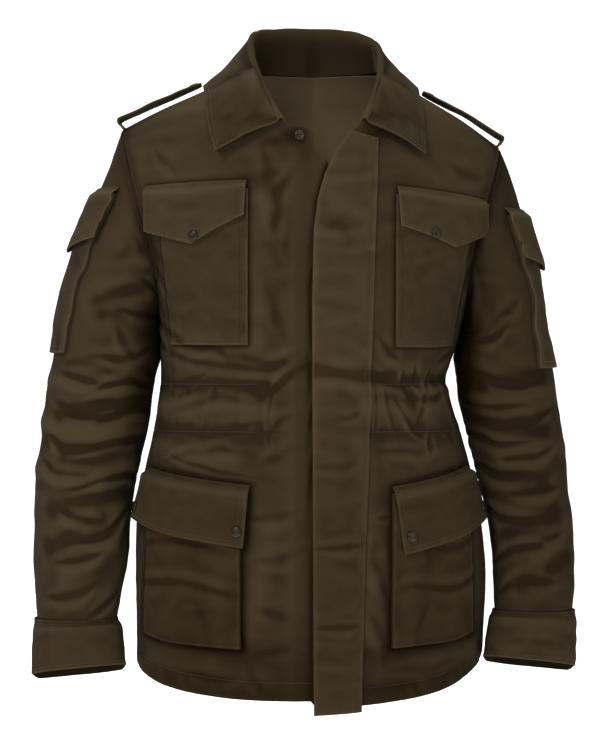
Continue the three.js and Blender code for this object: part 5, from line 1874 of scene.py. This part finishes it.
def makeStitches(material):
    points, normals, edges = [], [], []
    for path, outs in stitchPaths["body"]:
        start = len(points)
        points += (path * millimetre).tolist()
        normals += outs.tolist()
        edges += [(start + k, start + k + 1) for k in range(len(path) - 1)]
    mesh = bpy.data.meshes.new("stitchPaths")
    mesh.from_pydata(points, edges, [])
    mesh.attributes.new("out", "FLOAT_VECTOR", "POINT").data.foreach_set("vector", np.array(normals, np.float32).ravel())
    rows = bpy.data.objects.new("stitchPaths", mesh)
    bpy.context.scene.collection.objects.link(rows)
    tree = stitchTree(material)
    modifier = rows.modifiers.new("stitches", "NODES")
    modifier.node_group = tree
    values = {
        "Pitch": (thread["length"] + thread["gap"]) * millimetre,
        "Length": thread["length"] * millimetre,
        "Thickness": thread["thickness"] * millimetre,
        "Rise": thread["rise"],
    }
    for item in tree.interface.items_tree:
        if item.item_type == "SOCKET" and item.in_out == "INPUT" and item.name in values:
            modifier[item.identifier] = values[item.name]
    graph = bpy.context.evaluated_depsgraph_get()
    made = bpy.data.meshes.new_from_object(rows.evaluated_get(graph))
    bpy.data.objects.remove(rows)
    made.name = "stitching"
    piece = bpy.data.objects.new("stitching", made)
    bpy.context.scene.collection.objects.link(piece)
    made.polygons.foreach_set("use_smooth", np.ones(len(made.polygons), bool))
    return piece


# Materials

def nodeMaker(tree):
    def make(kind, **values):
        node = tree.nodes.new(kind)
        for key, value in values.items():
            setattr(node, key, value)
        return node
    return make


def mathNode(tree, operation, a, b=None, clamp=False):
    node = tree.nodes.new("ShaderNodeMath")
    node.operation, node.use_clamp = operation, clamp
    for k, value in enumerate((a, b)):
        if value is None:
            continue
        if isinstance(value, (int, float)):
            node.inputs[k].default_value = value
        else:
            tree.links.new(value, node.inputs[k])
    return node.outputs[0]


def mixColours(tree, factor, a, b, blend="MIX"):
    node = tree.nodes.new("ShaderNodeMix")
    node.data_type, node.blend_type = "RGBA", blend
    for socket, value in ((node.inputs[0], factor), (node.inputs[6], a), (node.inputs[7], b)):
        if isinstance(value, (int, float)):
            socket.default_value = value
        elif isinstance(value, tuple):
            socket.default_value = value
        else:
            tree.links.new(value, socket)
    return node.outputs[2]


def newGroup(name, inputs, outputs):
    tree = bpy.data.node_groups.new(name, "ShaderNodeTree")
    kinds = {"float": "NodeSocketFloat", "colour": "NodeSocketColor", "vector": "NodeSocketVector"}
    for label, kind, value in inputs:
        socket = tree.interface.new_socket(label, in_out="INPUT", socket_type=kinds[kind])
        if value is not None:
            socket.default_value = value
    for label, kind in outputs:
        tree.interface.new_socket(label, in_out="OUTPUT", socket_type=kinds[kind])
    return tree, tree.nodes.new("NodeGroupInput"), tree.nodes.new("NodeGroupOutput")


def twillGroup():
    # fine diagonal ribs of a cotton twill, broken by the yarns, from a UV in metres
    tree, start, end = newGroup(
        "twillWeave", [("UV", "vector", None), ("Pitch", "float", 0.0008)], [("Height", "float"), ("Yarn", "float")])
    make, link = nodeMaker(tree), tree.links.new
    split = make("ShaderNodeSeparateXYZ")
    link(start.outputs["UV"], split.inputs[0])
    x = mathNode(tree, "DIVIDE", split.outputs["X"], start.outputs["Pitch"])
    y = mathNode(tree, "DIVIDE", split.outputs["Y"], start.outputs["Pitch"])
    slant = mathNode(tree, "ADD", mathNode(tree, "MULTIPLY", x, 0.62), y)
    wobble = make("ShaderNodeTexNoise")
    wobble.inputs["Scale"].default_value = 420.0
    wobble.inputs["Detail"].default_value = 2.0
    link(start.outputs["UV"], wobble.inputs["Vector"])
    slant = mathNode(tree, "ADD", slant, mathNode(tree, "MULTIPLY", wobble.outputs[0], 0.7))
    rib = mathNode(tree, "SINE", mathNode(tree, "MULTIPLY", slant, 2 * math.pi))
    warp = mathNode(tree, "SINE", mathNode(tree, "MULTIPLY", x, 2 * math.pi * 0.9))
    height = mathNode(tree, "ADD", mathNode(tree, "MULTIPLY", rib, 0.38), mathNode(tree, "MULTIPLY", warp, 0.14))
    link(mathNode(tree, "ADD", height, 0.5), end.inputs["Height"])
    yarn = make("ShaderNodeTexNoise")
    yarn.inputs["Scale"].default_value = 900.0
    yarn.inputs["Detail"].default_value = 3.0
    stretch = make("ShaderNodeMapping")
    stretch.inputs["Scale"].default_value = (1.0, 0.25, 1.0)
    link(start.outputs["UV"], stretch.inputs["Vector"])
    link(stretch.outputs["Vector"], yarn.inputs["Vector"])
    link(yarn.outputs[0], end.inputs["Yarn"])
    return tree


def fadeGroup():
    # slow unevenness of dyed and washed cotton, with rubbed edges
    tree, start, end = newGroup(
        "washedFade", [("Position", "vector", None), ("Wear", "float", 0.0)],
        [("Tone", "float"), ("Rubbed", "float"), ("Crumple", "float")])
    make, link = nodeMaker(tree), tree.links.new
    slow = make("ShaderNodeTexNoise")
    slow.inputs["Scale"].default_value = 11.0
    slow.inputs["Detail"].default_value = 4.0
    slow.inputs["Roughness"].default_value = 0.6
    link(start.outputs["Position"], slow.inputs["Vector"])
    fine = make("ShaderNodeTexNoise")
    fine.inputs["Scale"].default_value = 170.0
    fine.inputs["Detail"].default_value = 3.0
    link(start.outputs["Position"], fine.inputs["Vector"])
    tone = mathNode(tree, "ADD", mathNode(tree, "MULTIPLY", slow.outputs[0], 0.75), mathNode(tree, "MULTIPLY", fine.outputs[0], 0.25))
    link(tone, end.inputs["Tone"])
    patchy = make("ShaderNodeTexNoise")
    patchy.inputs["Scale"].default_value = 60.0
    patchy.inputs["Detail"].default_value = 4.0
    link(start.outputs["Position"], patchy.inputs["Vector"])
    rubbed = mathNode(tree, "MULTIPLY", start.outputs["Wear"], mathNode(tree, "MULTIPLY", patchy.outputs[0], 1.6, True))
    link(rubbed, end.inputs["Rubbed"])
    link(patchy.outputs[0], end.inputs["Crumple"])
    return tree


groups = {"twill": twillGroup(), "fade": fadeGroup()}


def clothMaterial(name, colour, dark, insideColour, roughness=0.86):
    material = bpy.data.materials.new(name)
    material.use_nodes = True
    tree = material.node_tree
    make, link = nodeMaker(tree), tree.links.new
    shader = tree.nodes["Principled BSDF"]
    place = make("ShaderNodeTexCoord")
    weave = make("ShaderNodeGroup", node_tree=groups["twill"])
    link(place.outputs["UV"], weave.inputs["UV"])
    fade = make("ShaderNodeGroup", node_tree=groups["fade"])
    link(place.outputs["Object"], fade.inputs["Position"])
    wear = make("ShaderNodeAttribute", attribute_name="wear")
    link(wear.outputs["Fac"], fade.inputs["Wear"])
    inside = make("ShaderNodeAttribute", attribute_name="inside")
    tone = mixColours(tree, mathNode(tree, "MULTIPLY", mathNode(tree, "SUBTRACT", fade.outputs["Tone"], 0.3), 2.2, True), dark, colour)
    ribs = mixColours(tree, mathNode(tree, "MULTIPLY", weave.outputs["Height"], 0.30), tone, (0.0, 0.0, 0.0, 1.0), "MIX")
    light = tuple(min(c * 1.5, 1) for c in colour[:3]) + (1.0,)
    rubbed = mixColours(tree, mathNode(tree, "MULTIPLY", fade.outputs["Rubbed"], 0.35), ribs, light)
    yarns = mixColours(tree, mathNode(tree, "MULTIPLY", weave.outputs["Yarn"], 0.22), rubbed, light)
    hollow = make("ShaderNodeAttribute", attribute_name="hollow")
    shade = make("ShaderNodeAttribute", attribute_name="shade")
    raised = mathNode(tree, "MULTIPLY", hollow.outputs["Fac"], -0.5, True)
    sunk = mathNode(tree, "MULTIPLY", hollow.outputs["Fac"], 0.75, True)
    # painted shadow colour: a darker, warmer copy of the cloth's colour, mixed in by the hollow and shade attributes
    shadowTone = tuple(c * share for c, share in zip(colour, (0.17, 0.11, 0.05))) + (1.0,)
    # painted highlight on the cloth's ridges, where the hollow attribute is below nought, mixing in the lighter tone
    ridgeHighlighted = mixColours(tree, mathNode(tree, "MULTIPLY", raised, 0.5), yarns, light)
    # painted shade in the cloth's dips, where the hollow attribute is above nought
    troughShaded = mixColours(tree, mathNode(tree, "MULTIPLY", sunk, 0.48), ridgeHighlighted, shadowTone)
    shaded = mixColours(tree, mathNode(tree, "MULTIPLY", shade.outputs["Fac"], 0.9, True), troughShaded, shadowTone)
    lined = mixColours(tree, inside.outputs["Fac"], shaded, mixColours(tree, 0.3, insideColour, yarns))
    link(lined, shader.inputs["Base Color"])
    rough = mathNode(tree, "ADD", mathNode(tree, "MULTIPLY", fade.outputs["Tone"], 0.1), roughness - 0.05)
    link(rough, shader.inputs["Roughness"])
    shader.inputs["Specular IOR Level"].default_value = 0.01
    shader.inputs["Sheen Weight"].default_value = 0.01
    shader.inputs["Sheen Roughness"].default_value = 0.5
    shader.inputs["Sheen Tint"].default_value = (0.75, 0.68, 0.55, 1.0)
    bump = make("ShaderNodeBump")
    bump.inputs["Strength"].default_value = 0.5
    bump.inputs["Distance"].default_value = 0.00025
    link(weave.outputs["Height"], bump.inputs["Height"])
    crumple = make("ShaderNodeBump")
    crumple.inputs["Strength"].default_value = 0.4
    crumple.inputs["Distance"].default_value = 0.0012
    link(fade.outputs["Crumple"], crumple.inputs["Height"])
    link(crumple.outputs["Normal"], bump.inputs["Normal"])
    link(bump.outputs["Normal"], shader.inputs["Normal"])
    return material


def metalMaterial():
    material = bpy.data.materials.new("blackenedBrass")
    material.use_nodes = True
    tree = material.node_tree
    make, link = nodeMaker(tree), tree.links.new
    shader = tree.nodes["Principled BSDF"]
    place = make("ShaderNodeTexCoord")
    grime = make("ShaderNodeTexNoise")
    grime.inputs["Scale"].default_value = 700.0
    grime.inputs["Detail"].default_value = 4.0
    link(place.outputs["Object"], grime.inputs["Vector"])
    colour = mixColours(tree, grime.outputs[0], (0.016, 0.012, 0.007, 1.0), (0.06, 0.047, 0.028, 1.0))
    link(colour, shader.inputs["Base Color"])
    link(mathNode(tree, "ADD", mathNode(tree, "MULTIPLY", grime.outputs[0], 0.25), 0.18), shader.inputs["Roughness"])
    shader.inputs["Metallic"].default_value = 0.85
    bump = make("ShaderNodeBump")
    bump.inputs["Distance"].default_value = 0.00006
    bump.inputs["Strength"].default_value = 0.5
    link(grime.outputs[0], bump.inputs["Height"])
    link(bump.outputs["Normal"], shader.inputs["Normal"])
    return material


def threadMaterial():
    material = bpy.data.materials.new("cottonThread")
    material.use_nodes = True
    tree = material.node_tree
    make, link = nodeMaker(tree), tree.links.new
    shader = tree.nodes["Principled BSDF"]
    place = make("ShaderNodeTexCoord")
    twist = make("ShaderNodeTexWave")
    twist.inputs["Scale"].default_value = 900.0
    twist.inputs["Distortion"].default_value = 1.5
    link(place.outputs["Object"], twist.inputs["Vector"])
    link(mixColours(tree, twist.outputs["Fac"], (0.018, 0.013, 0.007, 1.0), (0.038, 0.029, 0.016, 1.0)), shader.inputs["Base Color"])
    shader.inputs["Roughness"].default_value = 0.65
    shader.inputs["Sheen Weight"].default_value = 0.2
    return material


tones = {
    "twill": [(0.0470, 0.0352, 0.0187, 1.0), (0.0348, 0.0256, 0.0131, 1.0), (0.065, 0.048, 0.026, 1.0)],
    "flap_twill": [(0.0560, 0.0422, 0.0220, 1.0), (0.0450, 0.0333, 0.0170, 1.0), (0.045, 0.034, 0.018, 1.0)],
    "pocket_twill": [(0.0400, 0.0280, 0.0142, 1.0), (0.0300, 0.0204, 0.0100, 1.0), (0.035, 0.025, 0.013, 1.0)],
}
# inner faces: the collar's and the cuffs' are painted shade, near black; the back's is painted light, much lighter than
# the outside
paintedInsideTones = {
    "collar": (0.0125, 0.0055, 0.0008, 1.0),
    "back": (0.235, 0.180, 0.102, 1.0),
    "cuff_right": (0.003, 0.0015, 0.0004, 1.0),
    "cuff_left": (0.003, 0.0015, 0.0004, 1.0),
}
materials = {slot: clothMaterial(slot, *shades) for slot, shades in tones.items()}
for name, insideColour in paintedInsideTones.items():
    materials[name] = clothMaterial(name + "Twill", tones["twill"][0], tones["twill"][1], insideColour)
materials["fastener"] = metalMaterial()
materials["thread"] = threadMaterial()
pieces["stitching"] = makeStitches(materials["thread"])
print("stitching made", len(pieces["stitching"].data.polygons))


# What each piece stands for, and the flat size of each sheet: width, height and area in metres

sheets = {
    "front_": ((0.31, 0.77), "hung", ["collar"], 0.20),
    "back": ((0.57, 0.77), "hung", ["collar"], 0.36),
    "sleeve_": ((0.43, 0.60), "hung", ["back"], 0.19),
    "cuff_": ((0.31, 0.068), "folded", ["sleeve_right", "sleeve_left"], 0.0208),
    "collar": ((0.62, 0.125), "folded", ["back"], 0.068),
    "storm_flap": ((0.072, 0.69), "laid", ["front_left"], 0.0455),
    "chest_pocket_": ((0.125, 0.19), "laid", ["front_right", "front_left"], 0.020),
    "chest_flap_": ((0.13, 0.075), "laid", ["chest_pocket_right", "chest_pocket_left"], 0.0080),
    "lower_pocket_": ((0.135, 0.20), "laid", ["front_right", "front_left"], 0.0255),
    "lower_flap_": ((0.135, 0.09), "laid", ["lower_pocket_right", "lower_pocket_left"], 0.0115),
    "sleeve_pocket_": ((0.145, 0.195), "laid", ["sleeve_right", "sleeve_left"], 0.0272),
    "sleeve_flap_": ((0.15, 0.082), "laid", ["sleeve_pocket_right", "sleeve_pocket_left"], 0.0111),
    "epaulet_": ((0.046, 0.122), "folded", ["collar"], 0.0052),
}
for name, piece in pieces.items():
    kind = name
    for side in ("right", "left"):
        if name.endswith(side):
            kind = name[:-len(side)]
    slot = "twill"
    if "snap" in name or "button" in name:
        slot = "fastener"
    elif name == "storm_flap" or "flap" in name:
        slot = "flap_twill"
    elif name.startswith("lower_pocket"):
        slot = "pocket_twill"
    if name == "stitching":
        slot = "twill"
    else:
        piece.data.materials.clear()
        piece.data.materials.append(materials[name if name in paintedInsideTones else slot])
    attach(piece, "root")
    if name != "stitching":
        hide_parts(name)
    if kind in sheets:
        flat, held, restsOn, area = sheets[kind]
        if kind != name:  # a piece of one side rests on that side's piece
            side = name[len(kind):]
            restsOn = [rest for rest in restsOn if not rest.endswith(("right", "left")) or rest.endswith(side)]
print("pieces placed")


# Studio: a pale sweep, soft lights and the camera at the photograph's angle

studio = {
    "floorZ": -1.02,
    "sweep": 2.0,
    "reach": 9.0,
    "halfWidth": 6.0,
    "world": 0.4,
    "focal": 110.2,
}


def makeSweep():
    # floor that turns up into a wall behind
    profile = [(-7.0, studio["floorZ"]), (studio["reach"] - studio["sweep"], studio["floorZ"])]
    for k in range(1, 13):
        angle = k / 12 * math.pi / 2
        profile.append((
            studio["reach"] - studio["sweep"] + studio["sweep"] * math.sin(angle),
            studio["floorZ"] + studio["sweep"] * (1 - math.cos(angle))))
    profile.append((studio["reach"], 5.0))
    width = studio["halfWidth"]
    points = [(x, y, z) for y, z in profile for x in (-width, width)]
    faces = [(2 * k, 2 * k + 1, 2 * k + 3, 2 * k + 2) for k in range(len(profile) - 1)]
    mesh = bpy.data.meshes.new("studioSweep")
    mesh.from_pydata(points, [], faces)
    mesh.polygons.foreach_set("use_smooth", np.ones(len(faces), bool))
    material = bpy.data.materials.new("studioPaper")
    material.use_nodes = True
    shader = material.node_tree.nodes["Principled BSDF"]
    shader.inputs["Base Color"].default_value = (0.95, 0.95, 0.95, 1.0)
    shader.inputs["Roughness"].default_value = 0.9
    shader.inputs["Emission Color"].default_value = (1.0, 1.0, 1.0, 1.0)
    shader.inputs["Emission Strength"].default_value = 0.6
    mesh.materials.append(material)
    sweep = bpy.data.objects.new("studioSweep", mesh)
    bpy.context.scene.collection.objects.link(sweep)


def makeLight(name, place, aim, size, power):
    light = bpy.data.lights.new(name, "AREA")
    light.shape, light.size, light.size_y, light.energy = "RECTANGLE", size[0], size[1], power
    lamp = bpy.data.objects.new(name, light)
    lamp.location = place
    lamp.rotation_euler = (Vector(aim) - Vector(place)).to_track_quat("-Z", "Y").to_euler()
    bpy.context.scene.collection.objects.link(lamp)


def makeCamera():
    camera = bpy.data.cameras.new("camera")
    camera.sensor_fit, camera.sensor_height, camera.sensor_width = "VERTICAL", 36.0, 28.8
    camera.lens = studio["focal"]
    seat = bpy.data.objects.new("camera", camera)
    seat.location = (photo["cameraX"] * millimetre, -photo["distance"] * millimetre, photo["cameraZ"] * millimetre)
    seat.rotation_euler = (math.pi / 2, 0, 0)
    bpy.context.scene.collection.objects.link(seat)
    bpy.context.scene.camera = seat


makeSweep()
makeLight("key", (-1.5, -2.3, 2.1), (0, 0, -0.2), (1.3, 1.0), 66)
makeLight("fill", (2.2, -2.9, 1.2), (0, 0, -0.35), (2.2, 2.0), 17)
makeLight("rim", (-0.8, 3.0, 2.3), (0, 0, -0.35), (2.0, 1.4), 70)
makeLight("top", (0, 0.2, 2.7), (0, 0, -0.2), (2.4, 1.4), 40)
makeCamera()
world = bpy.data.worlds.new("studio")
world.use_nodes = True
world.node_tree.nodes["Background"].inputs["Color"].default_value = (1.0, 1.0, 1.0, 1.0)
world.node_tree.nodes["Background"].inputs["Strength"].default_value = studio["world"]
bpy.context.scene.world = world
bpy.context.scene.view_settings.view_transform = "Standard"
print("studio set")
